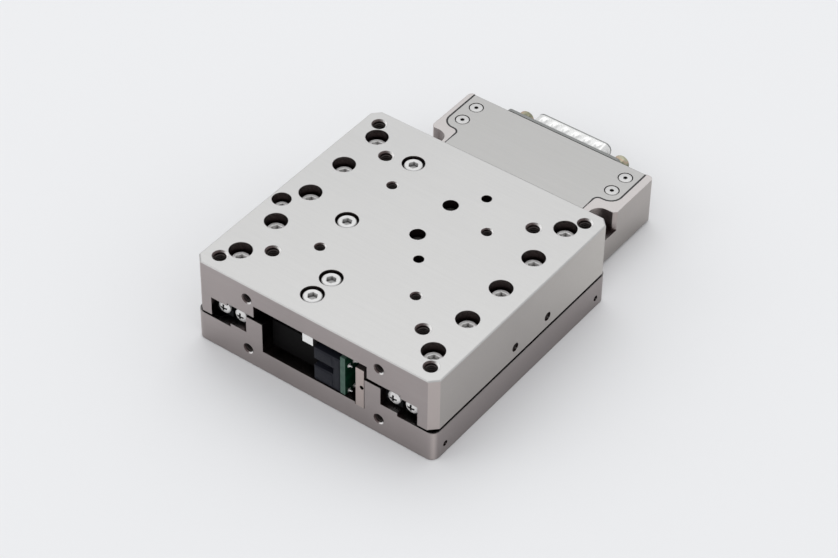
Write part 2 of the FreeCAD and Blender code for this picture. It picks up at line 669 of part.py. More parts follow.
def make_base_plate():
    body = new_body("base_plate")
    half = "stage_side / 2"
    rail_back, rail_face = inside(1, "rail_gap / 2 + rail_width"), inside(1, "rail_gap / 2")
    plan = sketch(body, "XZ_Plane")
    outline(plan, [
        (f"-{half}", "0"), (half, "0"), (half, "base_top"), (rail_face, "base_top"),
        (rail_face, "rail_low"), (rail_back, "rail_low"), (rail_back, "upstand_top"),
        ("channel_right", "upstand_top"), ("channel_right", "pocket_floor"),
        ("pocket_left", "pocket_floor"), ("pocket_left", "channel_floor"),
        ("-channel_left", "channel_floor"), ("-channel_left", "upstand_top"),
        (f"-{rail_back}", "upstand_top"), (f"-{rail_back}", "rail_low"),
        (f"-{rail_face}", "rail_low"), (f"-{rail_face}", "base_top"), (f"-{half}", "base_top")])
    pad(body, plan, "stage_side", both=True)
    soften(body, "Fillet", edges_along(body, "Z", square("stage_side")), "base_corner")

    plan = sketch(body, "XY_Plane", "base_top")
    circles(plan, square("mount_pitch"), "mount_hole")
    drill(body, plan, "mount_hole", bore=("mount_bore", "mount_bore_deep"))

    def holes_below(centres, width, depth):
        plan = sketch(body, "XY_Plane")
        circles(plan, centres, width)
        drill(body, plan, width, depth=depth, reverse=True)

    holes_below(both_sides(line_of("inner_screw_x", RAIL_START, "rail_pitch", RAIL_SCREWS)),
                "inner_bore", "inner_bore_deep")
    place = "inner_screw_x", RAIL_START
    shank_holes(body, "XY_Plane", "0", "big_clear", place, reverse=True, grid=BOTH_RAILS)
    for x, kind in (("coil_screw_x", "mid"), ("bar_screw_x", "tiny")):
        holes_below(line_of(x, "-coil_screw_pitch / 2", "coil_screw_pitch", 2), f"{kind}_bore",
                    f"{kind}_head_high + sunk")
        shank_holes(body, "XY_Plane", "0", f"{kind}_clear", (x, "-coil_screw_pitch / 2"), reverse=True,
                    row=("Y_Axis", "coil_screw_pitch", "2"))

    plan = sketch(body, "XZ_Plane", half)
    circles(plan, both_sides([("face_hole_x", "face_hole_base_z")]), "open_three")
    drill(body, plan, "open_three", depth="open_three_deep", mouth="open_three_mouth")
    shank_holes(body, "XZ_Plane", f"-{half}", "big_tapped", ("-box_screw_x", "face_hole_base_z"),
                depth="box_screw_reach - box_flange + spare", reverse=True,
                row=("X_Axis", "2 * box_screw_x", "2"))

    plan = sketch(body, "YZ_Plane", half)
    circles(plan, [("mount_pitch / 2", "side_hole_z"), ("-mount_pitch / 2", "side_hole_z")], "open_two")
    drill(body, plan, "open_two", depth="open_two_deep")

    plan = sketch(body, "XY_Plane", "base_top")
    slot_half, slot_end = "stop_slot_wide / 2", "(travel + stop_slot_wide / 2)"
    rectangle(plan, f"stop_x - {slot_half}", f"stop_y - {slot_end}",
              f"stop_x + {slot_half}", f"stop_y + {slot_end}")
    cut(body, plan, "stop_slot_deep")
    ends = [(f"stop_x + {a} * {slot_half}", f"stop_y + {b} * {slot_end}") for a in (-1, 1) for b in (-1, 1)]
    soften(body, "Fillet", edges_along(body, "Z", ends), "stop_slot_round", sign=1)


def make_table_plate():
    body = new_body("table_plate")
    half, rail_back = "stage_side / 2", inside(-1, "rail_gap / 2 + rail_width")
    rail_face, seat = inside(-1, "rail_gap / 2"), "rail_low + rail_high"
    plan = sketch(body, "XZ_Plane")
    outline(plan, [
        (f"-{half}", "table_low"), (f"-{rail_back}", "table_low"), (f"-{rail_back}", seat),
        (f"-{rail_face}", seat), (f"-{rail_face}", "shoulder_low"), ("-ceiling_left", "shoulder_low"),
        ("-ceiling_left", "ceiling"), ("ceiling_right", "ceiling"), ("ceiling_right", "shoulder_low"),
        (rail_face, "shoulder_low"), (rail_face, seat), (rail_back, seat), (rail_back, "table_low"),
        (half, "table_low"), (half, "stage_high"), (f"-{half}", "stage_high")])
    pad(body, plan, "stage_side", both=True)
    soften(body, "Chamfer", edges_along(body, "Z", square("stage_side")), "table_corner")
    soften(body, "Chamfer", level_edges(body, "stage_high"), "table_edge")

    def holes(centres, width, **rest):
        plan = sketch(body, "XY_Plane", "stage_high")
        circles(plan, centres, width)
        drill(body, plan, width, **rest)

    def screws(x, y, pitch, count, width, depth, clear):
        """A row of blind counterbores, each with the hole for its shank."""
        holes(line_of(x, y, pitch, count), width, depth=depth)
        shank_holes(body, "XY_Plane", "stage_high", clear, (x, y), row=("Y_Axis", pitch, str(count)))

    wide_holes = square("mount_pitch") + square("inner_pitch")
    holes(wide_holes, "open_four", depth="open_four_deep", mouth="open_four_mouth")
    holes(square("small_pitch"), "open_three", mouth="open_three_mouth")
    holes(both_sides(line_of("outer_screw_x", RAIL_START, "rail_pitch", RAIL_SCREWS)), "big_bore",
          depth="outer_bore_deep")
    shank_holes(body, "XY_Plane", "stage_high", "big_clear", ("outer_screw_x", RAIL_START), grid=BOTH_RAILS)
    screws("yoke_screw_x", "yoke_screw_y", "yoke_pitch", 2, "big_bore", "shallow_bore_deep", "big_clear")
    screws("flag_screw_x", "flag_screw_y", "flag_pitch", 2, "big_bore", "shallow_bore_deep", "big_clear")
    screws("scale_screw_x", "scale_screw_y", "scale_pitch", 2, "tiny_bore", "scale_bore_deep", "tiny_clear")
    holes(line_of("dowel_x", "dowel_y", "dowel_pitch", 2), "dowel")
    holes([("stop_x", "stop_y")], "mid_bore", depth="stop_bore_deep")
    shank_holes(body, "XY_Plane", "stage_high", "mid_tapped", ("stop_x", "stop_y"))

    plan = sketch(body, "XZ_Plane", half)
    circles(plan, both_sides([("face_hole_x", "face_hole_table_z")]), "open_three")
    drill(body, plan, "open_three", depth="open_three_deep", mouth="open_three_mouth")
    plan = sketch(body, "YZ_Plane", half)
    circles(plan, [("preload_y", "preload_z"), ("preload_y + preload_pitch", "preload_z")], "open_three")
    drill(body, plan, "open_three", depth=f"{half} - {rail_back} + spare")


def make_rail(label, side, hand, screw_x, end_screw_x):
    """A V-grooved rail: hand 1 is on the base, facing outwards, -1 on the table, facing inwards."""
    body = new_body(label)
    face = f"{side} * {inside(hand, 'rail_gap / 2')}"
    back = f"{side} * {inside(hand, 'rail_gap / 2 + rail_width')}"
    beside_back = f"{side} * {inside(hand, 'rail_gap / 2 + rail_width - rail_edge')}"
    bottom_of_groove = f"{side} * {inside(hand, 'tunnel_half * sqrt(2)')}"
    low, high, middle = "rail_low", "(rail_low + rail_high)", "(rail_low + rail_high / 2)"
    mouth = "(tunnel_half * sqrt(2) - rail_gap / 2)"
    plan = sketch(body, "XZ_Plane")
    outline(plan, [
        (face, low), (face, f"{middle} - {mouth}"), (bottom_of_groove, middle),
        (face, f"{middle} + {mouth}"), (face, high), (beside_back, high),
        (back, f"{high} - rail_edge"), (back, f"{low} + rail_edge"), (beside_back, low)])
    pad(body, plan, "rail_long", both=True)
    place = f"{side} * {screw_x}", RAIL_START
    shank_holes(body, "XY_Plane", "0", "big_tapped", place, reverse=True, row=RAIL_ROW)
    for lift, reverse in (("rail_long / 2", False), ("-rail_long / 2", True)):
        shank_holes(body, "XZ_Plane", lift, "tiny_tapped", (f"{side} * {end_screw_x}", "end_screw_z"),
                    depth="end_reach + spare", reverse=reverse)


def make_end_screws(label, x):
    """Four pan screws that close the ends of a pair of rails."""
    body = new_body(label, x=f"-{x}", z="end_screw_z")
    bearing, radius, top = "rail_long / 2", "end_head / 2", "(rail_long / 2 + end_head_high)"
    head = turned(body, "XY_Plane", [
        ("0", f"-{bearing}"), (radius, f"-{bearing}"), (radius, f"-({bearing} + end_head_high / 2)"),
        ("end_head_top / 2", f"-{top}"), ("0", f"-{top}")])
    plan = sketch(body, "XZ_Plane", bearing)
    even_sided(plan, "tiny_shank", SHANK_SIDES)
    shank = pad(body, plan, "end_reach", reverse=True)
    plan = sketch(body, "XZ_Plane", top)
    cross(plan, "cross_long", "cross_wide")
    recess = cut(body, plan, "cross_deep")
    repeat_twice(body, [head, shank, recess], ("X_Axis", f"2 * {x}", "2"), ("XZ_Plane",))


def make_cage(label, side):
    """A thin strip with one window for each roller."""
    body = new_body(label, x=f"{side} * track_x", z="rail_low + rail_high / 2")
    plan = sketch(body, "YZ_Plane")
    rectangle(plan, "-cage_long / 2", "-cage_high / 2", "cage_long / 2", "cage_high / 2")
    pad(body, plan, "cage_thick", both=True)
    first = "-(rollers - 1) * roller_pitch / 2"
    plan = sketch(body, "YZ_Plane")
    rectangle(plan, f"{first} - window_wide / 2", "-window_high / 2",
              f"{first} + window_wide / 2", "window_high / 2")
    window = cut(body, plan, "cage_thick * 2", both=True)
    repeat(body, [window], "Y_Axis", "roller_pitch", "rollers")


def make_rollers(label, side):
    """Short rollers in one row, each lying across its neighbours, as prisms of many sides."""
    links = []
    for number in range(int(size("rollers"))):
        roller = doc.addObject("Part::Prism", f"{label}_one")
        roller.Polygon = ROLLER_SIDES
        bind(roller, "Circumradius", "roller / 2")
        bind(roller, "Height", "roller_long")
        lean = 1 if number % 2 == 0 else -1
        roller.Placement = FreeCAD.Placement(Vector(), FreeCAD.Rotation(Vector(0, 1, 0), lean * 45))
        inward = "roller_long / (2 * sqrt(2))"
        bind(roller, "Placement.Base.x", f"{side} * track_x - {lean} * {inward}")
        bind(roller, "Placement.Base.y", f"({number} - (rollers - 1) / 2) * roller_pitch")
        bind(roller, "Placement.Base.z", f"rail_low + rail_high / 2 - {inward}")
        links.append(roller)
    group(label, links)


def group(label, links):
    """Several solids in one node."""
    whole = doc.addObject("Part::Compound", label)
    whole.Label = label
    whole.Links = links
    pieces.append(whole)


def make_guides():
    for word, side in (("left", LEFT), ("right", RIGHT)):
        make_rail(f"inner_rail_{word}", side, 1, "inner_screw_x", "end_screw_inner_x")
        make_rail(f"outer_rail_{word}", side, -1, "outer_screw_x", "end_screw_outer_x")
        screw(f"inner_rail_screws_{word}", "big", "inner_reach",
              (f"{side} * inner_screw_x", RAIL_START, "inner_bore_deep"), turn=HEAD_DOWN, row=RAIL_ROW)
        screw(f"outer_rail_screws_{word}", "big", "outer_reach",
              (f"{side} * outer_screw_x", RAIL_START, "stage_high - outer_bore_deep"), row=RAIL_ROW)
        make_cage(f"cage_{word}_strip", side)
        make_rollers(f"cage_{word}_rollers", side)
    make_end_screws("inner_rail_end_screws", "end_screw_inner_x")
    make_end_screws("outer_rail_end_screws", "end_screw_outer_x")

    place = "stage_side / 2 - preload_sunk", "preload_y", "preload_z"
    body = new_body("preload_screws", *place, turn=HEAD_TO_RIGHT)
    plan = sketch(body, "XY_Plane")
    circles(plan, [("0", "0")], "preload_width")
    solid = pad(body, plan, "preload_long", reverse=True)
    key = socket(body, "preload_key", "0", "preload_long * socket_share")
    repeat(body, [solid, key], "Y_Axis", "preload_pitch", "2")

    screw("stop_screw", "mid", "stop_reach", ("stop_x", "stop_y", "stage_high - stop_bore_deep"))


def make_coil_block():
    """A moulded block on the channel's floor with a flat blade between the magnets."""
    body = new_body("coil_block", y="coil_front")
    inner, top = "(coil_right - coil_wall)", "coil_blade_low + coil_blade_high"
    plan = sketch(body, "XZ_Plane")
    outline(plan, [
        ("coil_foot_left", "channel_floor"), ("coil_right", "channel_floor"), ("coil_right", top),
        ("coil_blade_left", top), ("coil_blade_left", "coil_blade_low"),
        (inner, "coil_blade_low"), (inner, "coil_foot_top"), ("coil_foot_left", "coil_foot_top")])
    pad(body, plan, "coil_long", reverse=True)
    plan = sketch(body, "XZ_Plane")
    rectangle(plan, "-channel_left + coil_gap", "channel_floor", "coil_right", "coil_end_top")
    pad(body, plan, "coil_end_long", reverse=True)
    place = "coil_screw_x", "-coil_front - coil_screw_pitch / 2"
    shank_holes(body, "XY_Plane", "channel_floor", "mid_tapped", place,
                depth="coil_screw_reach - channel_floor + mid_head_high + sunk", reverse=True,
                row=("Y_Axis", "coil_screw_pitch", "2"))
    middle = "(coil_blade_left + winding_wide / 2 + winding_side)"
    first = "(coil_end_long + winding_long / 2 + winding_start)"
    plan = sketch(body, "XY_Plane", "coil_blade_low")
    winding(plan, middle, first, "0")
    window = cut(body, plan, "coil_blade_high", reverse=True)
    repeat(body, [window], "Y_Axis", "winding_pitch", "windings")

    body = new_body("coil_windings", middle, f"coil_front + {first}", "coil_blade_low + winding_sunk")
    plan = sketch(body, "XY_Plane")
    winding(plan, "0", "0", "0")
    winding(plan, "0", "0", "winding_wire")
    solid = pad(body, plan, "coil_blade_high - 2 * winding_sunk")
    repeat(body, [solid], "Y_Axis", "winding_pitch", "windings")

    screw("coil_screws", "mid", "coil_screw_reach",
          ("coil_screw_x", "-coil_screw_pitch / 2", "mid_head_high + sunk"), turn=HEAD_DOWN,
          row=("Y_Axis", "coil_screw_pitch", "2"), seen=False)


def winding(plan, x, y, inset):
    """A rectangle with cut corners, drawn inwards by the inset."""
    a, b = f"(winding_wide / 2 - {inset})", f"(winding_long / 2 - {inset})"
    c = f"(winding_corner - {inset} * 0.4)"
    far = [(a, f"{b} - {c}"), (f"{a} - {c}", b), (f"-{a} + {c}", b), (f"-{a}", f"{b} - {c}")]
    near = [(f"-{a}", f"-{b} + {c}"), (f"-{a} + {c}", f"-{b}"), (f"{a} - {c}", f"-{b}"), (a, f"-{b} + {c}")]
    outline(plan, [(f"{x} + {across}", f"{y} + {upward}") for across, upward in far + near])


def make_magnet_track():
    """A C-shaped yoke hung under the table, with a row of magnets above and below the coils."""
    body = new_body("magnet_yoke", y="motor_y")
    web = "(yoke_back + yoke_web)"
    plan = sketch(body, "XZ_Plane")
    outline(plan, [
        ("yoke_left", "ceiling"), ("yoke_left", "yoke_top_low"), ("yoke_back", "yoke_top_low"),
        ("yoke_back", "yoke_low"), ("yoke_right", "yoke_low"), ("yoke_right", "yoke_floor_top"),
        (web, "yoke_floor_top"), (web, "yoke_top_low"), ("yoke_right", "yoke_top_low"),
        ("yoke_right", "ceiling")])
    pad(body, plan, "yoke_long", both=True)
    shank_holes(body, "XY_Plane", "ceiling", "big_tapped", ("yoke_screw_x", "yoke_screw_y - motor_y"),
                depth="yoke_reach - stage_high + shallow_bore_deep + ceiling + spare",
                row=("Y_Axis", "yoke_pitch", "2"))

    first = "motor_y - (magnets - 1) / 2 * magnet_pitch"
    body = new_body("magnets", f"{web} + magnet_gap", first, "yoke_floor_top")
    plan = sketch(body, "XY_Plane")
    rectangle(plan, "0", "-magnet_long / 2", "magnet_wide", "magnet_long / 2")
    solid = pad(body, plan, "magnet_high")
    rise = "yoke_top_low - yoke_floor_top - magnet_high"
    repeat_twice(body, [solid], ("Y_Axis", "magnet_pitch", "magnets"), ("Z_Axis", rise, "2"))

    screw("yoke_screws", "big", "yoke_reach",
          ("yoke_screw_x", "yoke_screw_y", "stage_high - shallow_bore_deep"),
          row=("Y_Axis", "yoke_pitch", "2"))


def make_flag():
    """The bracket and the thin plate that enters the limit sensor's slot."""
    body = new_body("flag_bracket")
    plan = sketch(body, "XY_Plane", "bracket_low")
    outline(plan, [
        ("bracket_left", "bracket_front"), ("nose_left", "bracket_front"), ("nose_left", "nose_front"),
        ("0", "nose_front"), ("0", "bracket_back"), ("bracket_left", "bracket_back")])
    pad(body, plan, "ceiling - bracket_low")
    shank_holes(body, "XY_Plane", "ceiling", "big_tapped", ("flag_screw_x", "flag_screw_y"),
                row=("Y_Axis", "flag_pitch", "2"))
    shank_holes(body, "XY_Plane", "bracket_low", "tiny_tapped", ("flag_fix_x", "flag_fix_y"),
                depth="flag_fix_reach - flag_thick + spare", reverse=True,
                row=("Y_Axis", "flag_fix_pitch", "2"))
    screw("flag_bracket_screws", "big", "yoke_reach",
          ("flag_screw_x", "flag_screw_y", "stage_high - shallow_bore_deep"),
          row=("Y_Axis", "flag_pitch", "2"))

    body = new_body("flag_plate", y="flag_front")
    top, web = "bracket_low", "(flag_right - flag_thick)"
    plan = sketch(body, "XZ_Plane")
    outline(plan, [
        ("flag_left", top), ("flag_left", f"{top} - flag_thick"), (web, f"{top} - flag_thick"),
        (web, "flag_low"), ("flag_tip", "flag_low"), ("flag_tip", "flag_low + flag_thick"),
        ("flag_right", "flag_low + flag_thick"), ("flag_right", top)])
    pad(body, plan, "flag_long", reverse=True)
    shank_holes(body, "XY_Plane", top, "tiny_clear", ("flag_fix_x", "flag_fix_y - flag_front"),
                depth="flag_thick", row=("Y_Axis", "flag_fix_pitch", "2"))
    screw("flag_plate_screws", "pan", "flag_fix_reach", ("flag_fix_x", "flag_fix_y", f"{top} - flag_thick"),
          turn=HEAD_DOWN, row=("Y_Axis", "flag_fix_pitch", "2"), seen=False)


def make_scale():
    """The holder under the table that carries the encoder's scale."""
    body = new_body("scale_holder", y="motor_y")
    wall = "(holder_left + holder_wall)"
    plan = sketch(body, "XZ_Plane")
    outline(plan, [
        ("holder_left", "holder_low"), (wall, "holder_low"), (wall, "holder_flange_low"),
        ("holder_right", "holder_flange_low"), ("holder_right", "ceiling"), ("holder_left", "ceiling")])
    pad(body, plan, "holder_long", both=True)
    shank_holes(body, "XY_Plane", "ceiling", "tiny_tapped", ("scale_screw_x", "scale_screw_y - motor_y"),
                depth="scale_reach - stage_high + scale_bore_deep + ceiling + spare",
                row=("Y_Axis", "scale_pitch", "2"))
    plan = sketch(body, "XY_Plane", "ceiling")
    circles(plan, line_of("dowel_x", "dowel_y - motor_y", "dowel_pitch", 2), "dowel")
    drill(body, plan, "dowel")
    screw("scale_holder_screws", "tiny", "scale_reach",
          ("scale_screw_x", "scale_screw_y", "stage_high - scale_bore_deep"),
          row=("Y_Axis", "scale_pitch", "2"))

    body = new_body("scale_dowels", "dowel_x", "dowel_y", "dowel_low")
    plan = sketch(body, "XY_Plane")
    circles(plan, [("0", "0")], "dowel - dowel_gap")
    solid = pad(body, plan, "dowel_long")
    repeat(body, [solid], "Y_Axis", "dowel_pitch", "2")

    body = new_body("encoder_scale", wall, "motor_y", "scale_low")
    plan = sketch(body, "YZ_Plane")
    rectangle(plan, "-scale_long / 2", "0", "scale_long / 2", "scale_high")
    pad(body, plan, "scale_thick")


def make_sensor_side():
    """The bar on the channel's right wall, the board on it and what the board carries."""
    body = new_body("board_bar")
    plan = sketch(body, "XZ_Plane")
    rectangle(plan, "bar_left", "pocket_floor", "bar_left + bar_thick", "bar_top")
    pad(body, plan, "stage_side", both=True)
    plan = sketch(body, "YZ_Plane", "bar_left")
    boss, boss_row = ("board_screw_y", "board_screw_z"), ("Y_Axis", "board_screw_pitch", "2")
    even_sided(plan, "boss_wide", SHANK_SIDES, *boss)
    repeat(body, [pad(body, plan, "bar_left - board_left - board_thick", reverse=True)], *boss_row)
    shank_holes(body, "YZ_Plane", "board_left + board_thick", "tiny_tapped", boss,
                depth="board_reach - board_thick + spare", reverse=True, row=boss_row)
    shank_holes(body, "XY_Plane", "pocket_floor", "tiny_tapped", ("bar_screw_x", "-coil_screw_pitch / 2"),
                depth="bar_screw_reach - pocket_floor + tiny_head_high + sunk + spare", reverse=True,
                row=("Y_Axis", "coil_screw_pitch", "2"))
    plan = sketch(body, "XZ_Plane", "stage_side / 2")
    circles(plan, [("bar_hole_x", "bar_hole_z")], "bar_hole")
    cut(body, plan, "bar_hole_deep")
    screw("board_bar_screws", "tiny", "bar_screw_reach",
          ("bar_screw_x", "-coil_screw_pitch / 2", "tiny_head_high + sunk"), turn=HEAD_DOWN,
          row=("Y_Axis", "coil_screw_pitch", "2"), seen=False)

    body = new_body("sensor_board")
    plan = sketch(body, "YZ_Plane", "board_left")
    outline(plan, [
        ("board_front", "board_low"), ("board_back", "board_low"), ("board_back", "board_step_top"),
        ("board_step", "board_step_top"), ("board_step", "board_top"), ("board_front", "board_top")])
    pad(body, plan, "board_thick")
    shank_holes(body, "YZ_Plane", "board_left + board_thick", "tiny_clear", boss,
                depth="board_thick", row=boss_row)
    screw("sensor_board_screws", "pan", "board_reach", ("board_left", "board_screw_y", "board_screw_z"),
          turn=HEAD_TO_LEFT, row=boss_row, seen=False)

    body = new_body("limit_sensor", y="board_front")
    plan = sketch(body, "XZ_Plane")
    outline(plan, [
        ("sensor_left", "board_low"), ("board_left", "board_low"), ("board_left", "sensor_top"),
        ("sensor_left", "sensor_top"), ("sensor_left", "sensor_slot_high"),
        ("sensor_slot_end", "sensor_slot_high"), ("sensor_slot_end", "sensor_slot_low"),
        ("sensor_left", "sensor_slot_low")])
    pad(body, plan, "sensor_long", reverse=True)

    body = new_body("sensor_leads", "board_left + board_thick", "pad_y", "pad_z")
    plan = sketch(body, "YZ_Plane")
    even_sided(plan, "pad_wide", PIN_SIDES)
    solid = pad(body, plan, "pad_high")
    repeat_twice(body, [solid], ("Y_Axis", "pad_pitch_y", "2"), ("Z_Axis", "pad_pitch_z", "2"))

    body = new_body("encoder_head", "board_left", "motor_y", "head_low")
    plan = sketch(body, "YZ_Plane")
    rectangle(plan, "-head_long / 2", "0", "head_long / 2", "head_high")
    pad(body, plan, "board_left - head_left", reverse=True)
    plan = sketch(body, "YZ_Plane", "head_left - board_left")
    rectangle(plan, "-head_window / 2", "(head_high - head_window_high) / 2",
              "head_window / 2", "(head_high + head_window_high) / 2")
    cut(body, plan, "head_window_deep", reverse=True)


def beside_cover(texts):
    """Mirror pairs of formulas left and right of the cover's middle."""
    return [(f"cover_x + {x}", y) for x, y in both_sides(texts)]


def cover_outline(plan, grow, back):
    """The cover's outline up to its rear edge, grown by the gap where it is the recess."""
    wide, neck = f"(cover_half + {grow})", f"(cover_neck + {grow})"
    widening, front = f"cover_step - {grow}", f"cover_front - {grow}"
    half = [(neck, front), (neck, widening), (wide, widening), (wide, back)]
    outline(plan, [(f"cover_x + {x}", y) for x, y in half]
            + [(f"cover_x - {x}", y) for x, y in reversed(half)])


def cover_corners(body, grow, sign):
    """Round the steps of the cover's outline."""
    step_y = f"cover_step - {grow}"
    outer = edges_along(body, "Z", beside_cover([(f"cover_half + {grow}", step_y)]))
    soften(body, "Fillet", outer, f"cover_round + {grow}", -sign)
    inner = edges_along(body, "Z", beside_cover([(f"cover_neck + {grow}", step_y)]))
    soften(body, "Fillet", inner, f"cover_hollow - {grow}", sign)


def make_connector_box():
    body = new_body("connector_box")
    front = "stage_side / 2"
    plan = sketch(body, "XY_Plane", "box_low")
    rectangle(plan, "-box_half", front, "box_half", "box_back")
    pad(body, plan, "box_step_top - box_low")
    plan = sketch(body, "XY_Plane", "box_step_top")
    rectangle(plan, "-box_half", "box_step_back", "box_half", "box_back")
    pad(body, plan, "box_top - box_step_top")
    soften(body, "Fillet", edges_along(body, "Z", both_sides([("box_half", "box_back")])), "box_corner")

    plan = sketch(body, "XY_Plane", "box_top")
    cover_outline(plan, "seam", "box_back")
    cut(body, plan, "cover_thick")
    cover_corners(body, "seam", -1)

    plan = sketch(body, "XY_Plane", "box_top")
    rectangle(plan, "-cavity_half", "cavity_front", "cavity_half", "cavity_back")
    cut(body, plan, "box_top - cavity_floor")

    for side in (LEFT, RIGHT):
        plan = sketch(body, "XY_Plane", "box_top")
        circles(plan, [(f"{side} * lug_x", "lug_y")], "2 * lug_round")
        cut(body, plan, "box_top - box_step_top")
        plan = sketch(body, "XY_Plane", "box_top")
        near, far = f"{side} * lug_x", f"{side} * (box_half + beyond)"
        rectangle(plan, near, "box_step_back - beyond", far, "lug_wall")
        cut(body, plan, "box_top - box_step_top")
    beside = both_sides([("box_half", "lug_wall")])
    soften(body, "Chamfer", edges_along(body, "Z", beside), "lug_chamfer")

    plan = sketch(body, "XY_Plane", "box_step_top")
    circles(plan, both_sides([("lug_x", "lug_y")]), "big_clear")
    drill(body, plan, "big_clear")

    plan = sketch(body, "XZ_Plane", "-(stage_side / 2 + box_flange)")
    for side in (LEFT, RIGHT):
        rectangle(plan, f"{side} * (box_screw_x - key_notch / 2)", "face_hole_base_z - key_notch / 2",
                  f"{side} * (box_screw_x + key_notch / 2)", "box_step_top")
    cut(body, plan, "cavity_front - stage_side / 2 - box_flange + seam")
    shank_holes(body, "XZ_Plane", "-stage_side / 2", "big_clear", ("-box_screw_x", "face_hole_base_z"),
                depth="box_flange", row=("X_Axis", "2 * box_screw_x", "2"))
    plan = sketch(body, "XZ_Plane", "-stage_side / 2")
    rectangle(plan, "-cable_half", "cable_low", "cable_half", "box_step_top")
    cut(body, plan, "cavity_front - stage_side / 2 + seam")

    plan = sketch(body, "XZ_Plane", "-box_back")
    rectangle(plan, "plug_x - cutout_half", "cutout_low", "plug_x + cutout_half", "box_top - cover_thick")
    cut(body, plan, "box_back - cavity_back + seam", reverse=True)
    shank_holes(body, "XZ_Plane", "-box_back", "jack_stud + jack_play", ("plug_x - jack_x", "plug_z"),
                depth="box_back - cavity_back", reverse=True, row=("X_Axis", "2 * jack_x", "2"))
    shank_holes(body, "XY_Plane", "box_top - cover_thick", "tiny_tapped", FIRST_COVER_SCREW,
                depth="cover_reach - cover_thick + flush_head_high + spare", grid=COVER_SCREWS)
    place = "-box_screw_x", "stage_side / 2 + box_flange", "face_hole_base_z"
    screw("box_screws", "big", "box_screw_reach", place, turn=HEAD_TO_BACK,
          row=("X_Axis", "2 * box_screw_x", "2"), seen=False)

    body = new_body("box_cover")
    plan = sketch(body, "XY_Plane", "box_top - cover_thick")
    cover_outline(plan, "0", "box_back - cover_back_gap")
    pad(body, plan, "cover_thick")
    cover_corners(body, "0", 1)
    plan = sketch(body, "XY_Plane", "box_top")
    spots = line_of("cover_screw_x", "cover_screw_y", "cover_screw_pitch", 2)
    circles(plan, beside_cover(spots), "cover_bore")
    drill(body, plan, "cover_bore", depth="flush_head_high")
    shank_holes(body, "XY_Plane", "box_top", "tiny_clear", FIRST_COVER_SCREW, grid=COVER_SCREWS)
    screw("cover_screws", "flush", "cover_reach", (*FIRST_COVER_SCREW, "box_top - flush_head_high"),
          grid=COVER_SCREWS)


def shell_sides(inset):
    """Half width, lower and upper height of the connector's D shape, drawn inwards by the inset."""
    half = f"(shell_wide / 2 - ({inset}))"
    return half, f"(plug_z - shell_high / 2 + ({inset}))", f"(plug_z + shell_high / 2 - ({inset}))"


def shell_mouth(plan, inset):
    """The D shape inside the shell, wide side up, with its corners cut off."""
    wide, low, high = shell_sides(inset)
    narrow, lean = f"({wide} - shell_slant)", "shell_cut * shell_slant / shell_high"
    right = [(f"{narrow} - shell_cut", low), (f"{narrow} + {lean}", f"{low} + shell_cut"),
             (f"{wide} - {lean}", f"{high} - shell_cut"), (f"{wide} - shell_cut", high)]
    outline(plan, right + [(f"-({x})", z) for x, z in reversed(right)])


def make_connector():
    """A fifteen-way plug in the box's rear wall."""
    body = new_body("plug_shell", "plug_x", "box_back")
    plan = sketch(body, "XZ_Plane")
    low, high = "plug_z - flange_high / 2", "plug_z + flange_high / 2"
    rectangle(plan, "-flange_wide / 2", low, "flange_wide / 2", high)
    pad(body, plan, "flange_thick", reverse=True)
    corners = both_sides([("flange_wide / 2", low), ("flange_wide / 2", high)])
    soften(body, "Fillet", edges_along(body, "Y", corners), "flange_corner")
    wide, low, high = shell_sides("0")
    narrow = f"({wide} - shell_slant)"
    corners = [(f"-{narrow}", low), (narrow, low), (wide, high), (f"-{wide}", high)]
    plan = sketch(body, "XZ_Plane")
    outline(plan, corners)
    pad(body, plan, "flange_thick + shell_deep", reverse=True)
    soften(body, "Fillet", edges_along(body, "Y", corners), "shell_corner")
    plan = sketch(body, "XZ_Plane")
    shell_mouth(plan, "shell_wall")
    cut(body, plan, "flange_thick + shell_deep")
    shank_holes(body, "XZ_Plane", "0", "jack_stud + jack_play", ("-jack_x", "plug_z"),
                depth="flange_thick", row=("X_Axis", "2 * jack_x", "2"))

    body = new_body("plug_core", "plug_x")
    plan = sketch(body, "XZ_Plane", "-link_board_back")
    shell_mouth(plan, "shell_wall + core_gap")
    pad(body, plan, "core_back - link_board_back", reverse=True)

    links = []
    for count, rise in ((8, 1), (7, -1)):
        for number in range(count):
            pin = doc.addObject("Part::Prism", "plug_pin")
            pin.Polygon = PIN_SIDES
            pin.Placement = FreeCAD.Placement(Vector(), HEAD_TO_BACK)
            bind(pin, "Circumradius", "pin_wide / 2")
            bind(pin, "Height", "pin_tip - core_back")
            bind(pin, "Placement.Base.x", f"plug_x + ({number} - {(count - 1) / 2}) * pin_pitch")
            bind(pin, "Placement.Base.y", "core_back")
            bind(pin, "Placement.Base.z", f"plug_z + {rise} * pin_rows / 2")
            links.append(pin)
    group("plug_pins", links)

    place = "plug_x - jack_x", "box_back + flange_thick", "plug_z"
    body = new_body("plug_jack_screws", *place, turn=HEAD_TO_BACK)
    plan = sketch(body, "XY_Plane")
    even_sided(plan, "jack_across * 2 / sqrt(3)", 6)
    solid = pad(body, plan, "jack_tip - box_back - flange_thick")
    plan = sketch(body, "XY_Plane")
    even_sided(plan, "jack_stud", SHANK_SIDES)
    stud = pad(body, plan, "jack_reach", reverse=True)
    plan = sketch(body, "XY_Plane", "jack_tip - box_back - flange_thick")
    circles(plan, [("0", "0")], "jack_hole")
    thread = cut(body, plan, "jack_hole_deep")
    repeat(body, [solid, stud, thread], "X_Axis", "2 * jack_x", "2")

    body = new_body("link_board")
    plan = sketch(body, "XZ_Plane", "-link_board_back")
    rectangle(plan, "-link_board_half", "link_board_low", "link_board_half", "link_board_top")
    pad(body, plan, "board_thick")


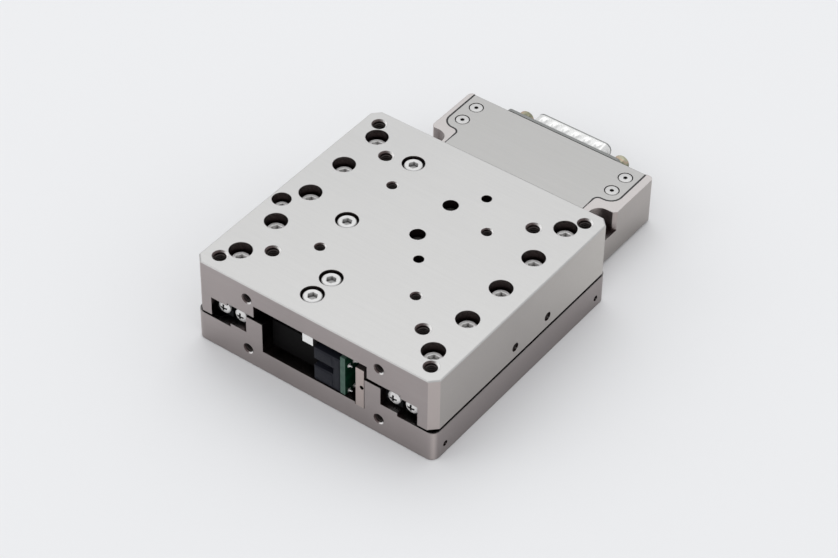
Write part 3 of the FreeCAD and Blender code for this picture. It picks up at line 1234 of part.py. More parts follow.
def make_wiring():
    """Three motor leads and a flat ribbon, held between the base's channel and the link board."""
    front, back = "coil_front + coil_long", "link_board_back - board_thick"
    body = new_body("motor_leads", "lead_x", front, "lead_z")
    plan = sketch(body, "XZ_Plane")
    even_sided(plan, "lead_wide", PIN_SIDES)
    solid = pad(body, plan, f"{back} - ({front})", reverse=True)
    repeat(body, [solid], "X_Axis", "lead_pitch", "3")

    body = new_body("sensor_ribbon", "ribbon_left", "ribbon_front", "ribbon_low")
    plan = sketch(body, "XZ_Plane")
    rectangle(plan, "0", "0", "ribbon_wide", "ribbon_thick")
    pad(body, plan, f"{back} - ribbon_front", reverse=True)


make_base_plate()
make_table_plate()
make_guides()
make_coil_block()
make_magnet_track()
make_flag()
make_scale()
make_sensor_side()
make_connector_box()
make_connector()
make_wiring()
doc.recompute()

for item in doc.Objects:
    if "Invalid" in item.State or "Error" in item.State:
        raise RuntimeError(f"{item.Label} is {item.State}")
for piece in pieces:
    if piece.Shape.isNull() or not piece.Shape.isValid():
        raise RuntimeError(f"{piece.Label} has no valid shape")

os.makedirs("parts", exist_ok=True)
for piece in pieces:
    piece.Shape.exportStep(f"parts/{piece.Label}.step")
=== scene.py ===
"""Looks of the linear motor stage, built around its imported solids. Pieces are built in millimetres."""

import math

import bmesh
import bpy
from mathutils import Matrix, Vector


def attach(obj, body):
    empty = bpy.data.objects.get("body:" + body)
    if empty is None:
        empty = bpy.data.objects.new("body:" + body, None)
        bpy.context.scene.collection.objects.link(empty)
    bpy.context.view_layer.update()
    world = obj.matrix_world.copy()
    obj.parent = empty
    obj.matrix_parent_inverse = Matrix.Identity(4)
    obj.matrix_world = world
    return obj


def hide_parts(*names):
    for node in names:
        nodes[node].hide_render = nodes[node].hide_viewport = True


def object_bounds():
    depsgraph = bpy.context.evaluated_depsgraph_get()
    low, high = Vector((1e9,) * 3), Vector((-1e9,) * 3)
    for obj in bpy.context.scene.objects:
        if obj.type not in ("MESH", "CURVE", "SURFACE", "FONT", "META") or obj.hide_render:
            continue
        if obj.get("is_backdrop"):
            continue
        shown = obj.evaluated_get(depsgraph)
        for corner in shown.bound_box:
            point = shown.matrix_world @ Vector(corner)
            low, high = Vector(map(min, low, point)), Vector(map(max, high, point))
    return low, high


MM = 0.001
MICRON = 0.000001
TURN = 2 * math.pi
UP, DOWN, FRONT, BACK, RIGHT = (0, 0, 1), (0, 0, -1), (0, -1, 0), (0, 1, 0), (1, 0, 0)

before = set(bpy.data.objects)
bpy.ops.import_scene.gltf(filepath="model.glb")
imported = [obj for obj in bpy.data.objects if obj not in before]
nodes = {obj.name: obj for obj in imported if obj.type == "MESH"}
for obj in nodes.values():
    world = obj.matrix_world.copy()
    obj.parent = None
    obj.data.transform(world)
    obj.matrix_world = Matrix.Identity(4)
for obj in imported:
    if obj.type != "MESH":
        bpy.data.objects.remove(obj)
cad_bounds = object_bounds()
scene = bpy.context.scene


# Camera

PHOTO_WIDE = 838
PHOTO_FOCAL = 2734.9
SENSOR_WIDE = 36.0
EYE = Vector((0.32757, -0.44240, 0.51400))
BACKWARD = Vector((0.43581, -0.59807, 0.67260)).normalized()
ROLL = math.radians(0.903)


def make_camera():
    """The photograph's viewpoint: place, direction and a small roll."""
    level = (-BACKWARD).cross(Vector(UP)).normalized()
    rise = level.cross(-BACKWARD)
    right = level * math.cos(ROLL) + rise * math.sin(ROLL)
    up = rise * math.cos(ROLL) - level * math.sin(ROLL)
    data = bpy.data.cameras.new("photo_camera")
    data.sensor_width = SENSOR_WIDE
    data.lens = PHOTO_FOCAL / PHOTO_WIDE * SENSOR_WIDE
    data.clip_start = 0.01
    data.clip_end = 50
    camera = bpy.data.objects.new("photo_camera", data)
    scene.collection.objects.link(camera)
    camera.matrix_world = Matrix.Translation(EYE) @ Matrix((right, up, BACKWARD)).transposed().to_4x4()
    scene.camera = camera


# Node trees

# Sockets of a mix node that mixes colours
MIX_SHARE, MIX_FIRST, MIX_SECOND, MIX_RESULT = 0, 6, 7, 2


class Graph:
    """Adds nodes to a tree and joins them. A value is a plain number or another node's output."""

    def __init__(self, tree):
        self.tree = tree

    def node(self, kind, **values):
        made = self.tree.nodes.new(kind)
        for key, value in values.items():
            setattr(made, key, value)
        return made

    def link(self, start, end):
        self.tree.links.new(start, end)

    def feed(self, socket, value):
        """Joins another node's output to a socket, or sets a plain value on it."""
        if hasattr(value, "node"):
            self.link(value, socket)
        else:
            socket.default_value = value

    def calculate(self, operation, *values):
        """A number worked out from other values."""
        made = self.node("ShaderNodeMath", operation=operation)
        for socket, value in zip(made.inputs, values):
            self.feed(socket, value)
        return made.outputs[0]

    def product(self, first, *others):
        """Values multiplied."""
        for other in others:
            first = self.calculate("MULTIPLY", first, other)
        return first

    def spread(self, source, low, high, start=0.3, end=0.7):
        """Maps a pattern from start..end to low..high."""
        ranged = self.node("ShaderNodeMapRange")
        ranged.inputs["From Min"].default_value = start
        ranged.inputs["From Max"].default_value = end
        ranged.inputs["To Min"].default_value = low
        ranged.inputs["To Max"].default_value = high
        self.link(source, ranged.inputs["Value"])
        return ranged.outputs["Result"]

    def share(self, source, start, end):
        """None where a pattern is at start, one where it is at end."""
        return self.spread(source, 0.0, 1.0, start, end)

    def towards(self, source, direction):
        """How far a vector points in a direction."""
        along = self.node("ShaderNodeVectorMath", operation="DOT_PRODUCT")
        self.link(source, along.inputs[0])
        along.inputs[1].default_value = Vector(direction).normalized()
        return along.outputs["Value"]

    def part(self, source, axis):
        """One axis of a vector."""
        split = self.node("ShaderNodeSeparateXYZ")
        self.link(source, split.inputs[0])
        return split.outputs[axis]


# Studio

BACKDROP = (0.82, 0.828, 0.842)
FILL_COLOUR = (0.985, 0.99, 1.0)
# The side that the fill light is strongest from, and its strength opposite that side and there
FILL_SIDE = (-0.45, 0.55, 0.70)
FILL_LOW, FILL_HIGH = 0.87, 0.88
FLOOR_TONE = (0.815, 0.820, 0.830)
FLOOR_HALF = 6.0
FLOOR_DROP = 0.0002
# Name, place, width and watts of each lamp
SOFTBOXES = (
    ("softbox_back", (-1.0, 1.38, 3.1), 2.8, 23),
    ("softbox_side", (2.6, 0.9, 1.6), 1.6, 2),
    ("softbox_front", (-1.9, -2.1, 1.8), 1.8, 8),
)


def make_softbox(name, place, size, watts):
    """A square soft lamp that faces the object."""
    data = bpy.data.lights.new(name, "AREA")
    data.shape = "SQUARE"
    data.size = size
    data.energy = watts
    lamp = bpy.data.objects.new(name, data)
    scene.collection.objects.link(lamp)
    lamp.location = place
    lamp.rotation_euler = (-Vector(place)).to_track_quat("-Z", "Y").to_euler()


def make_world():
    """A pale backdrop for the camera and for reflections, and a nearly even fill light for the rest."""
    world = bpy.data.worlds.new("studio")
    scene.world = world
    world.use_nodes = True
    world.node_tree.nodes.clear()
    graph = Graph(world.node_tree)
    direction = graph.node("ShaderNodeTexCoord").outputs["Generated"]
    strength = graph.spread(graph.towards(direction, FILL_SIDE), FILL_LOW, FILL_HIGH, -1.0, 1.0)
    fill = graph.node("ShaderNodeBackground")
    fill.inputs["Color"].default_value = (*FILL_COLOUR, 1)
    graph.link(strength, fill.inputs["Strength"])
    shown = graph.node("ShaderNodeBackground")
    shown.inputs["Color"].default_value = (*BACKDROP, 1)
    path = graph.node("ShaderNodeLightPath").outputs
    seen = graph.calculate("MAXIMUM", path["Is Camera Ray"], path["Is Glossy Ray"])
    seen = graph.calculate("MAXIMUM", seen, path["Is Transmission Ray"])
    mix = graph.node("ShaderNodeMixShader")
    for source, socket in zip((seen, fill.outputs[0], shown.outputs[0]), mix.inputs):
        graph.link(source, socket)
    graph.link(mix.outputs[0], graph.node("ShaderNodeOutputWorld").inputs[0])


def make_floor():
    """A wide pale floor just under the object."""
    mesh = bpy.data.meshes.new("studio_floor")
    corners = [(x * FLOOR_HALF, y * FLOOR_HALF, 0) for x, y in ((-1, -1), (1, -1), (1, 1), (-1, 1))]
    mesh.from_pydata(corners, [], [(0, 1, 2, 3)])
    floor = bpy.data.objects.new("studio_floor", mesh)
    scene.collection.objects.link(floor)
    floor.location = (0, 0, -FLOOR_DROP)
    material = bpy.data.materials.new("floor_pale")
    material.use_nodes = True
    shader = material.node_tree.nodes["Principled BSDF"]
    shader.inputs["Base Color"].default_value = (*FLOOR_TONE, 1)
    shader.inputs["Roughness"].default_value = 0.9
    shader.inputs["Specular IOR Level"].default_value = 0.0
    mesh.materials.append(material)
    floor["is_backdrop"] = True


# Materials


def grey(level):
    return (level,) * 3


def tinted(colour, factor):
    return tuple(channel * factor for channel in colour)


class Paint(Graph):
    """Builds one procedural material step by step."""

    def __init__(self, name, metallic=0.0, specular=0.5):
        self.material = bpy.data.materials.new(name)
        self.material.use_nodes = True
        super().__init__(self.material.node_tree)
        self.shader = self.tree.nodes["Principled BSDF"]
        self.shader.inputs["Metallic"].default_value = metallic
        self.shader.inputs["Specular IOR Level"].default_value = specular
        self.coordinates = self.node("ShaderNodeTexCoord").outputs["Object"]

    def noise(self, scale, stretch=(1, 1, 1), detail=4.0):
        """Noise of that many waves a metre, stretched along each axis."""
        mapping = self.node("ShaderNodeMapping")
        mapping.inputs["Scale"].default_value = stretch
        self.link(self.coordinates, mapping.inputs["Vector"])
        noise = self.node("ShaderNodeTexNoise")
        noise.inputs["Scale"].default_value = scale
        noise.inputs["Detail"].default_value = detail
        noise.inputs["Roughness"].default_value = 0.55
        self.link(mapping.outputs[0], noise.inputs["Vector"])
        return noise.outputs["Fac"]

    def ramp(self, source, stops):
        """Colours along a pattern."""
        ramp = self.node("ShaderNodeValToRGB")
        points = ramp.color_ramp.elements
        points[0].position, points[0].color = stops[0][0], (*stops[0][1], 1)
        points[1].position, points[1].color = stops[-1][0], (*stops[-1][1], 1)
        for position, colour in stops[1:-1]:
            points.new(position).color = (*colour, 1)
        self.link(source, ramp.inputs["Fac"])
        return ramp.outputs["Color"]

    def shades(self, source, colour, dark, pale, start=0.35, end=0.7):
        """A colour times a factor that follows a pattern."""
        return self.ramp(source, ((start, tinted(colour, dark)), (end, tinted(colour, pale))))

    def blend(self, share, first, second, mode="MIX"):
        """Mixes two colours by a share, a number or a pattern."""
        mix = self.node("ShaderNodeMix", data_type="RGBA", blend_type=mode)
        self.feed(mix.inputs[MIX_SHARE], share)
        for socket, colour in ((MIX_FIRST, first), (MIX_SECOND, second)):
            self.feed(mix.inputs[socket], colour if hasattr(colour, "node") else (*colour, 1))
        return mix.outputs[MIX_RESULT]

    def shaded(self, tone, shade):
        """One colour times another."""
        return self.blend(1.0, tone, shade, "MULTIPLY")

    def add(self, first, second, share):
        """Two patterns together: first, and a share of second."""
        return self.calculate("MULTIPLY_ADD", second, share, first)

    def inverse(self, share):
        """None where a share is one, and one where it is none."""
        return self.share(share, 1.0, 0.0)

    def along(self, axis):
        """The place along one axis of the row frame, in metres."""
        return self.part(self.coordinates, axis)

    def looks(self):
        """The way that a face looks."""
        return self.node("ShaderNodeNewGeometry").outputs["True Normal"]

    def facing(self, axis, start, end):
        """Where faces look along one axis, either way: none up to start, one from end."""
        square = self.calculate("ABSOLUTE", self.part(self.looks(), axis))
        return self.share(square, start, end)

    def facing_up(self, level=None):
        """One on faces that look up, and with a level only on those above it, in millimetres."""
        upward = self.share(self.part(self.looks(), "Z"), 0.45, 0.7)
        if level is None:
            return upward
        return self.product(upward, self.calculate("GREATER_THAN", self.along("Z"), level * MM))

    def leaning(self, direction):
        """One on faces that lean back from plumb and look roughly that way, but aren't level."""
        upward = self.part(self.looks(), "Z")
        past_plumb = self.share(upward, 0.15, 0.35)
        not_level = self.share(upward, 0.92, 0.8)
        turned = self.share(self.towards(self.looks(), direction), 0.6, 0.85)
        return self.product(past_plumb, not_level, turned)

    def hollow(self, reach, start, full, alone=True, samples=6):
        """None in the open, one deep in bores and gaps; alone leaves the other parts out.

        It starts where that share of the surroundings is free, and is full where only this much is.
        """
        sky = self.node("ShaderNodeAmbientOcclusion", samples=samples, only_local=alone)
        sky.inputs["Distance"].default_value = reach
        return self.share(sky.outputs["AO"], start, full)

    def inside(self, low, high):
        """One inside a box of the row frame, in millimetres."""
        shares = []
        for axis, start, end in zip("XYZ", low, high):
            middle, half = (start + end) / 2 * MM, (end - start) / 2 * MM
            shares.append(self.calculate("COMPARE", self.along(axis), middle, half))
        return self.product(*shares)

    def edges(self, radius):
        """Normals rounded over a small radius at sharp edges."""
        bevel = self.node("ShaderNodeBevel", samples=4)
        bevel.inputs["Radius"].default_value = radius
        return bevel.outputs["Normal"]

    def bump(self, height, distance, normal=None):
        """Relief of that many metres, over the given normals."""
        bump = self.node("ShaderNodeBump")
        bump.inputs["Distance"].default_value = distance
        self.link(height, bump.inputs["Height"])
        if normal is not None:
            self.link(normal, bump.inputs["Normal"])
        self.link(bump.outputs["Normal"], self.shader.inputs["Normal"])

    def colour(self, source):
        self.link(source, self.shader.inputs["Base Color"])

    def roughness(self, source):
        self.link(source, self.shader.inputs["Roughness"])


# Plated tones: the ground tops are lighter than the milled sides partly by finish and partly as painted light
GROUND_LIT_TOP = (0.515, 0.511, 0.503)
MILLED_SHADED_SIDE = (0.40, 0.358, 0.352)
COVER = (0.435, 0.430, 0.420)
BOX_TOP = (0.505, 0.478, 0.468)
# A lighter, warmer tone on the upright corner chamfers and roundings: a painted sheen
CORNER_SHEEN = (0.49, 0.438, 0.422)
BAR = (0.53, 0.455, 0.43)
# Painted shade: a dark tone in bores and on the shaded side of hole lips, and a darker one deep in bores,
# gaps and channels
BORE_SHADE = (0.085, 0.062, 0.060)
DEEP_SHADE = (0.018, 0.013, 0.013)
# A painted highlight on the lit side of the lips of holes
LIP_HIGHLIGHT = (1.0, 0.985, 0.97)
# Painted shade in the sockets of screws
SOCKET_SHADE = (0.022, 0.019, 0.018)
SHADOWED = (0.05, 0.048, 0.047)

# Waves a metre of the patterns on plated metal: clouds, grain, grinding lines and milling marks
CLOUDS, GRAIN, GRINDING, MILLING = 26, 2600, 1500, 900
# Metres around a point that count for the painted shade and highlight at a hole's mouth, and for the painted
# shade in a bore and in a gap
MOUTH_REACH, BORE_REACH, GAP_REACH = 0.008, 0.0035, 0.03
# Which way the side of a hole's broken edge with a painted highlight, and the side with painted shade, look
LIP_LIT_SIDE, LIP_SHADED_SIDE = (-0.68, -0.20, 0.70), (0.75, -0.12, 0.65)
# Metres over which the edges of a plate and of a small part look rounded
PLATE_EDGE, SMALL_EDGE = 0.00022, 0.0001
# Height over which the foot of a part darkens as painted shade near the floor, and half of the length over
# which its flanks brighten as painted light
FOOT_HIGH, FLANK_HALF = 0.009, 0.04
# Two bands over the stage, in millimetres, that leave out its upright corners
BANDS = (((-37, -50, -10), (37, 50, 50)), ((-50, -37, -10), (50, 37, 50)))
# The slit between the table's walls and the base, in millimetres, whose sides are painted dark as shade
SLIT = ((-41, -41, 9.55), (41, 41, 10.62))


def painted_flank_light(paint, lit_flanks, cloud):
    """Painted light on faces that look along X: an even tone from the front to the middle, then changing."""
    place = paint.share(paint.along("Y"), -FLANK_HALF, FLANK_HALF)
    run = paint.ramp(place, ((0.45, lit_flanks[0]), (1.0, lit_flanks[1])))
    return paint.shaded(run, paint.shades(cloud, grey(1.0), 0.95, 1.0))


def paint_gap_shade_and_corner_sheen(paint, tone, skin, across):
    """Painted shade inside the skin and in the slit under the table, and a painted sheen on upright corners.
    """
    deep = paint.product(paint.inside(*skin), paint.hollow(GAP_REACH, 0.8, 0.5, alone=False))
    outside = paint.product(*(paint.inverse(paint.inside(*band)) for band in BANDS))
    upright = paint.product(outside, paint.inverse(paint.facing("Z", 0.2, 0.5)))
    deep = paint.product(deep, paint.inverse(upright))
    corner = paint.product(across, paint.facing("Y", 0.3, 0.65), upright)
    tone = paint.blend(corner, paint.blend(deep, tone, DEEP_SHADE), CORNER_SHEEN)
    return paint.blend(paint.product(paint.inside(*SLIT), across), tone, DEEP_SHADE)


def ground_metal(name, top, side, rough, level=None, skin=None, lit_flanks=None):
    """Nickel plated metal: ground flat on top above a level, milled elsewhere, with the top lighter partly as
    painted light, painted shade in bores and gaps, and painted highlights on hole lips.

    The skin is the box that only the outer faces lie outside of. The flanks are the tones of the faces
    that look along X, from the middle forward and at the back end; their change is painted light.
    """
    paint = Paint(name, metallic=1.0)
    cloud = paint.noise(CLOUDS, detail=3)
    grain = paint.noise(GRAIN, detail=2)
    lines = paint.noise(GRINDING, stretch=(0.03, 1, 1), detail=3)
    milled = paint.noise(MILLING, stretch=(1, 1, 0.04), detail=3)
    across = paint.facing("X", 0.3, 0.65)

    tone_top = paint.shades(cloud, top, 0.975, 1.02)
    tone_side = paint.shades(cloud, side, 0.94, 1.05)
    if lit_flanks:
        # Painted light along the faces that look along X
        tone_side = paint.blend(across, tone_side, painted_flank_light(paint, lit_flanks, cloud))
    # Painted shade: the sides darken towards the floor
    foot = paint.share(paint.along("Z"), 0.0, FOOT_HIGH)
    tone_side = paint.shaded(tone_side, paint.shades(foot, grey(1.0), 0.88, 1.0, 0.0, 1.0))
    tone = paint.blend(paint.facing_up(level), tone_side, tone_top)
    tone = paint.shaded(tone, paint.shades(lines, grey(1.0), 0.97, 1.0, 0.3, 0.7))

    mouth = paint.hollow(MOUTH_REACH, 0.99, 0.88, samples=12)
    # A painted highlight on one side of each hole's lip, and painted shade on the other
    lip = paint.product(paint.leaning(LIP_LIT_SIDE), mouth)
    tone = paint.blend(paint.product(paint.leaning(LIP_SHADED_SIDE), mouth), tone, BORE_SHADE)
    if skin:
        tone = paint_gap_shade_and_corner_sheen(paint, tone, skin, across)
    # Painted shade in bores, darker where they are deeper
    tone = paint.blend(paint.hollow(BORE_REACH, 0.97, 0.88), tone, BORE_SHADE)
    tone = paint.blend(paint.hollow(BORE_REACH, 0.48, 0.25), tone, DEEP_SHADE)
    paint.colour(paint.blend(lip, tone, LIP_HIGHLIGHT))
    paint.link(paint.spread(lip, 1.0, 0.1, 0.0, 1.0), paint.shader.inputs["Metallic"])

    paint.roughness(paint.spread(paint.add(grain, cloud, 0.8), rough - 0.05, rough + 0.07, 0.5, 1.3))
    relief = paint.add(paint.add(lines, milled, 0.6), grain, 0.4)
    paint.bump(relief, 3 * MICRON, paint.edges(PLATE_EDGE))
    return paint.material


def plain_paint(name, colour, rough, grain, metallic=0.0, depth=10 * MICRON, specular=0.5):
    """A finish with grain: tone, gloss and surface vary at the grain's own scale."""
    paint = Paint(name, metallic, specular)
    coarse = paint.noise(grain * 0.12, detail=3)
    fine = paint.noise(grain, detail=5)
    paint.colour(paint.shades(paint.add(coarse, fine, 0.6), colour, 0.88, 1.1, 0.45, 1.0))
    paint.roughness(paint.spread(fine, rough - 0.06, rough + 0.07))
    paint.bump(fine, depth)
    return paint.material


def bright_metal(name, colour, rough, grain=2600, metallic=0.4, reach=0.0012, floor=False):
    """Turned or drawn bright metal with painted shade in its own sockets, or with floor only on their walls.
    """
    paint = Paint(name, metallic)
    coarse = paint.noise(grain * 0.15, detail=2)
    fine = paint.noise(grain, detail=4)
    tone = paint.shades(paint.add(coarse, fine, 0.5), colour, 0.92, 1.06, 0.45, 1.0)
    shut = paint.hollow(reach, 0.95, 0.6)
    if floor:
        shut = paint.product(shut, paint.inverse(paint.facing_up()))
    paint.colour(paint.blend(shut, tone, SOCKET_SHADE))
    paint.roughness(paint.spread(fine, rough - 0.05, rough + 0.07))
    paint.bump(fine, 4 * MICRON, paint.edges(SMALL_EDGE))
    return paint.material


def ruled(name, colour, dark, axis, pitch, rough, metallic):
    """A surface ruled with fine parallel lines, such as a scale, a winding or a ribbon."""
    paint = Paint(name, metallic)
    line = paint.calculate("FRACT", paint.product(paint.along(axis), 1 / pitch))
    cloud = paint.noise(300, detail=3)
    tone = paint.ramp(line, ((0.0, dark), (0.25, colour), (0.75, colour), (1.0, dark)))
    paint.colour(paint.shaded(tone, paint.shades(cloud, grey(1.0), 0.88, 1.0, 0.35, 0.65)))
    paint.roughness(paint.spread(cloud, rough - 0.05, rough + 0.06))
    paint.bump(cloud, 5 * MICRON)
    return paint.material


def board_finish():
    """Printed board: dark green mask on its faces, paler glass fibre on its cut edges."""
    paint = Paint("board_green_finish", specular=0.15)
    weave = paint.noise(1600, stretch=(1, 1, 0.5), detail=3)
    tracks = paint.noise(420, stretch=(1, 0.25, 1), detail=0)
    mask = paint.ramp(tracks, ((0.47, (0.002, 0.026, 0.013)), (0.53, (0.004, 0.042, 0.020))))
    edge = paint.ramp(weave, ((0.35, (0.055, 0.10, 0.08)), (0.65, (0.08, 0.135, 0.11))))
    paint.colour(paint.blend(paint.facing("X", 0.4, 0.8), edge, mask))
    paint.roughness(paint.spread(weave, 0.35, 0.55))
    paint.bump(paint.add(tracks, weave, 0.3), 10 * MICRON)
    return paint.material


def bracket_finish():
    """Pale satin plate whose sides, which only see the dark channel, stay dark."""
    paint = Paint("bracket_metal_finish", metallic=0.15)
    grain = paint.noise(1600, detail=4)
    tone = paint.ramp(grain, ((0.35, (0.80, 0.80, 0.79)), (0.65, (0.88, 0.88, 0.87))))
    paint.colour(paint.blend(paint.facing("X", 0.5, 0.8), tone, SHADOWED))
    paint.roughness(paint.spread(grain, 0.34, 0.46))
    paint.bump(grain, 6 * MICRON, paint.edges(SMALL_EDGE))
    return paint.material


def jack_finish():
    """Zinc plating with a yellow, olive and coppery bloom."""
    paint = Paint("jack_brass_finish", metallic=0.8)
    bloom = paint.noise(240, detail=1)
    grain = paint.noise(2400, detail=3)
    stops = (
        (0.36, (0.13, 0.13, 0.09)),
        (0.47, (0.33, 0.32, 0.22)),
        (0.56, (0.46, 0.33, 0.25)),
        (0.66, (0.42, 0.41, 0.30)),
    )
    paint.colour(paint.ramp(bloom, stops))
    paint.roughness(paint.spread(grain, 0.26, 0.42))
    paint.bump(grain, 6 * MICRON, paint.edges(SMALL_EDGE))
    return paint.material


# The finish of each plated part, whose level and skin are in millimetres, and whose flank tones carry painted
# light
PLATED = {
    "table_plate": {
        "top": GROUND_LIT_TOP,
        "level": 27.65,
        "skin": ((-39.98, -39.98, 10.4), (39.98, 39.98, 27.9)),
        "lit_flanks": ((0.44, 0.415, 0.398), (0.568, 0.544, 0.514)),
    },
    "base_plate": {
        "top": GROUND_LIT_TOP,
        "level": 9.6,
        "skin": ((-39.98, -39.98, 0.1), (39.98, 39.98, 30)),
        "lit_flanks": ((0.344, 0.308, 0.303), (0.344, 0.308, 0.303)),
    },
    "connector_box": {
        "top": BOX_TOP,
        "level": 8.6,
        "skin": ((-20, 40.1, 0.6), (31.9, 75.3, 15.4)),
        "lit_flanks": ((0.44, 0.408, 0.394), (0.455, 0.424, 0.405)),
    },
    "box_cover": {"top": COVER, "level": 15.0},
}
PLAIN = {
    "rail_black": {"colour": (0.008, 0.008, 0.009), "rough": 0.5, "grain": 1800, "specular": 0.15},
    "set_screw_black": {"colour": (0.03, 0.028, 0.028), "rough": 0.4, "grain": 2400, "metallic": 0.5},
    "dowel_steel": {"colour": (0.5, 0.5, 0.5), "rough": 0.25, "grain": 2000, "metallic": 1.0},
    "cage_strip": {"colour": (0.55, 0.50, 0.38), "rough": 0.32, "grain": 1500, "metallic": 0.8},
    "coil_resin": {"colour": (0.0048, 0.0044, 0.0046), "rough": 0.6, "grain": 1200, "specular": 0.08},
    "yoke_steel": {"colour": (0.20, 0.195, 0.19), "rough": 0.45, "grain": 1500, "metallic": 0.9},
    "magnet_nickel": {"colour": (0.5, 0.49, 0.47), "rough": 0.28, "grain": 1800, "metallic": 1.0},
    "flag_black": {"colour": (0.02, 0.02, 0.021), "rough": 0.5, "grain": 1600, "metallic": 0.1},
    "sensor_plastic": {
        "colour": (0.010, 0.011, 0.017), "rough": 0.5, "grain": 2200, "depth": 20 * MICRON, "specular": 0.2,
    },
    "shell_bright": {
        "colour": (0.71, 0.712, 0.70), "rough": 0.24, "grain": 5200, "metallic": 0.6, "depth": 0.6 * MICRON,
    },
    "core_plastic": {"colour": (0.016, 0.016, 0.017), "rough": 0.45, "grain": 2000},
    "pin_gold": {"colour": (0.75, 0.55, 0.24), "rough": 0.25, "grain": 2000, "metallic": 1.0},
    "lead_rubber": {"colour": (0.014, 0.014, 0.015), "rough": 0.6, "grain": 1500},
}
BRIGHT = {
    # Thread ridges inside tapped holes: a dark copy of the plated metal, as painted shade
    "bore_metal": {
        "colour": (0.06, 0.05, 0.048), "rough": 0.4, "grain": 2400, "metallic": 0.9, "reach": 0.0015,
    },
    "screw_steel": {"colour": (0.64, 0.637, 0.63), "rough": 0.34, "floor": True},
    # A lighter copy of the screw steel, as painted light on heads that sit deep in bores
    "screw_deep": {"colour": (0.88, 0.87, 0.86), "rough": 0.4, "floor": True},
    "screw_end": {"colour": (0.84, 0.83, 0.82), "rough": 0.4},
    "screw_dark": {"colour": (0.07, 0.066, 0.064), "rough": 0.3, "metallic": 0.7},
    "screw_flush": {"colour": (0.56, 0.557, 0.55), "rough": 0.36},
    "solder": {"colour": (0.8, 0.8, 0.79), "rough": 0.3, "grain": 1500, "metallic": 0.8, "reach": 0.0006},
    # A dark copy of the shell's metal for its rim and flange, as painted shade and dark reflection
    "shell_edge": {
        "colour": (0.22, 0.225, 0.22), "rough": 0.36, "grain": 1400, "metallic": 0.7, "reach": 0.0008,
    },
}
RULED = {
    "copper_wire": {
        "colour": (0.62, 0.26, 0.12), "dark": (0.2, 0.07, 0.03),
        "axis": "X", "pitch": 0.0004, "rough": 0.35, "metallic": 0.9,
    },
    "scale_glass": {
        "colour": (0.62, 0.55, 0.36), "dark": (0.2, 0.17, 0.1),
        "axis": "Y", "pitch": 0.0005, "rough": 0.2, "metallic": 0.7,
    },
    "ribbon_film": {
        "colour": (0.45, 0.26, 0.08), "dark": (0.16, 0.08, 0.02),
        "axis": "X", "pitch": 0.0005, "rough": 0.35, "metallic": 0.0,
    },
}


def make_paints():
    """The finishes by name. A finish for a slot of the solids has the slot's name."""
    paints = {
        "bar_metal": ground_metal("bar_metal_finish", BAR, BAR, rough=0.36),
        "bracket_metal": bracket_finish(),
        "board_green": board_finish(),
        "jack_brass": jack_finish(),
    }
    for make, finishes in ((plain_paint, PLAIN), (bright_metal, BRIGHT), (ruled, RULED)):
        for name, values in finishes.items():
            paints[name] = make(f"{name}_finish", **values)
    return paints


def dress_solids():
    """Puts a finish in each slot of the solids."""
    for name, node in nodes.items():
        for slot in node.material_slots:
            if name in PLATED:
                slot.material = ground_metal(f"{name}_finish", side=MILLED_SHADED_SIDE, rough=0.38, **PLATED[name])
            elif name == "flag_bracket":
                slot.material = PAINTS["bracket_metal"]
            elif slot.material.name in PAINTS:
                slot.material = PAINTS[slot.material.name]


# Mesh pieces

KNURL_TEETH = 18
# A thread's ridge in a hole: points a turn, height as a share of the pitch, and depth of its foot in the wall
RIDGE_POINTS, RIDGE_PROUD, RIDGE_ROOT = 24, 0.36, 0.03


def circle(radius):
    """A round outline."""
    return lambda angle: radius


def hexagon(across):
    """A hexagon of that width across its flats."""
    return lambda angle: across / 2 / math.cos(angle % (TURN / 6) - TURN / 12)


def cross(arm):
    """A cross whose arms are that long and narrow towards the middle."""

    def reach(angle):
        turn = abs((angle + TURN / 8) % (TURN / 4) - TURN / 8)
        side = arm * math.tan(TURN / 24) / max(math.sin(turn), 0.001)
        return min(arm / math.cos(turn), side)

    return reach


def knurl(radius, depth):
    """A round outline with straight teeth, for a ring that has two points a tooth."""
    return lambda angle: radius - depth * (round(angle / TURN * KNURL_TEETH * 2) % 2)


def within(first, second):
    """What two outlines have in common."""
    return lambda angle: min(first(angle), second(angle))


def halfway(first, second):
    """The outline between two others."""
    return lambda angle: (first(angle) + second(angle)) / 2


def thread_rings(radius, low, high, pitch, deep):
    """Rings of a threaded shank, from a low to a high end."""
    rings = []
    for turn in range(int((high - low) / pitch)):
        rings.append((circle(radius), low + turn * pitch))
        rings.append((circle(radius - deep), low + (turn + 0.5) * pitch))
    return rings


def around(place, towards):
    """Gives points by their reach, angle and level about an axis that starts at the place."""
    place = Vector(place)
    turn = Vector(towards).to_track_quat("Z", "Y")

    def spot(reach, angle, level):
        return place + turn @ Vector((reach * math.cos(angle), reach * math.sin(angle), level))

    return spot


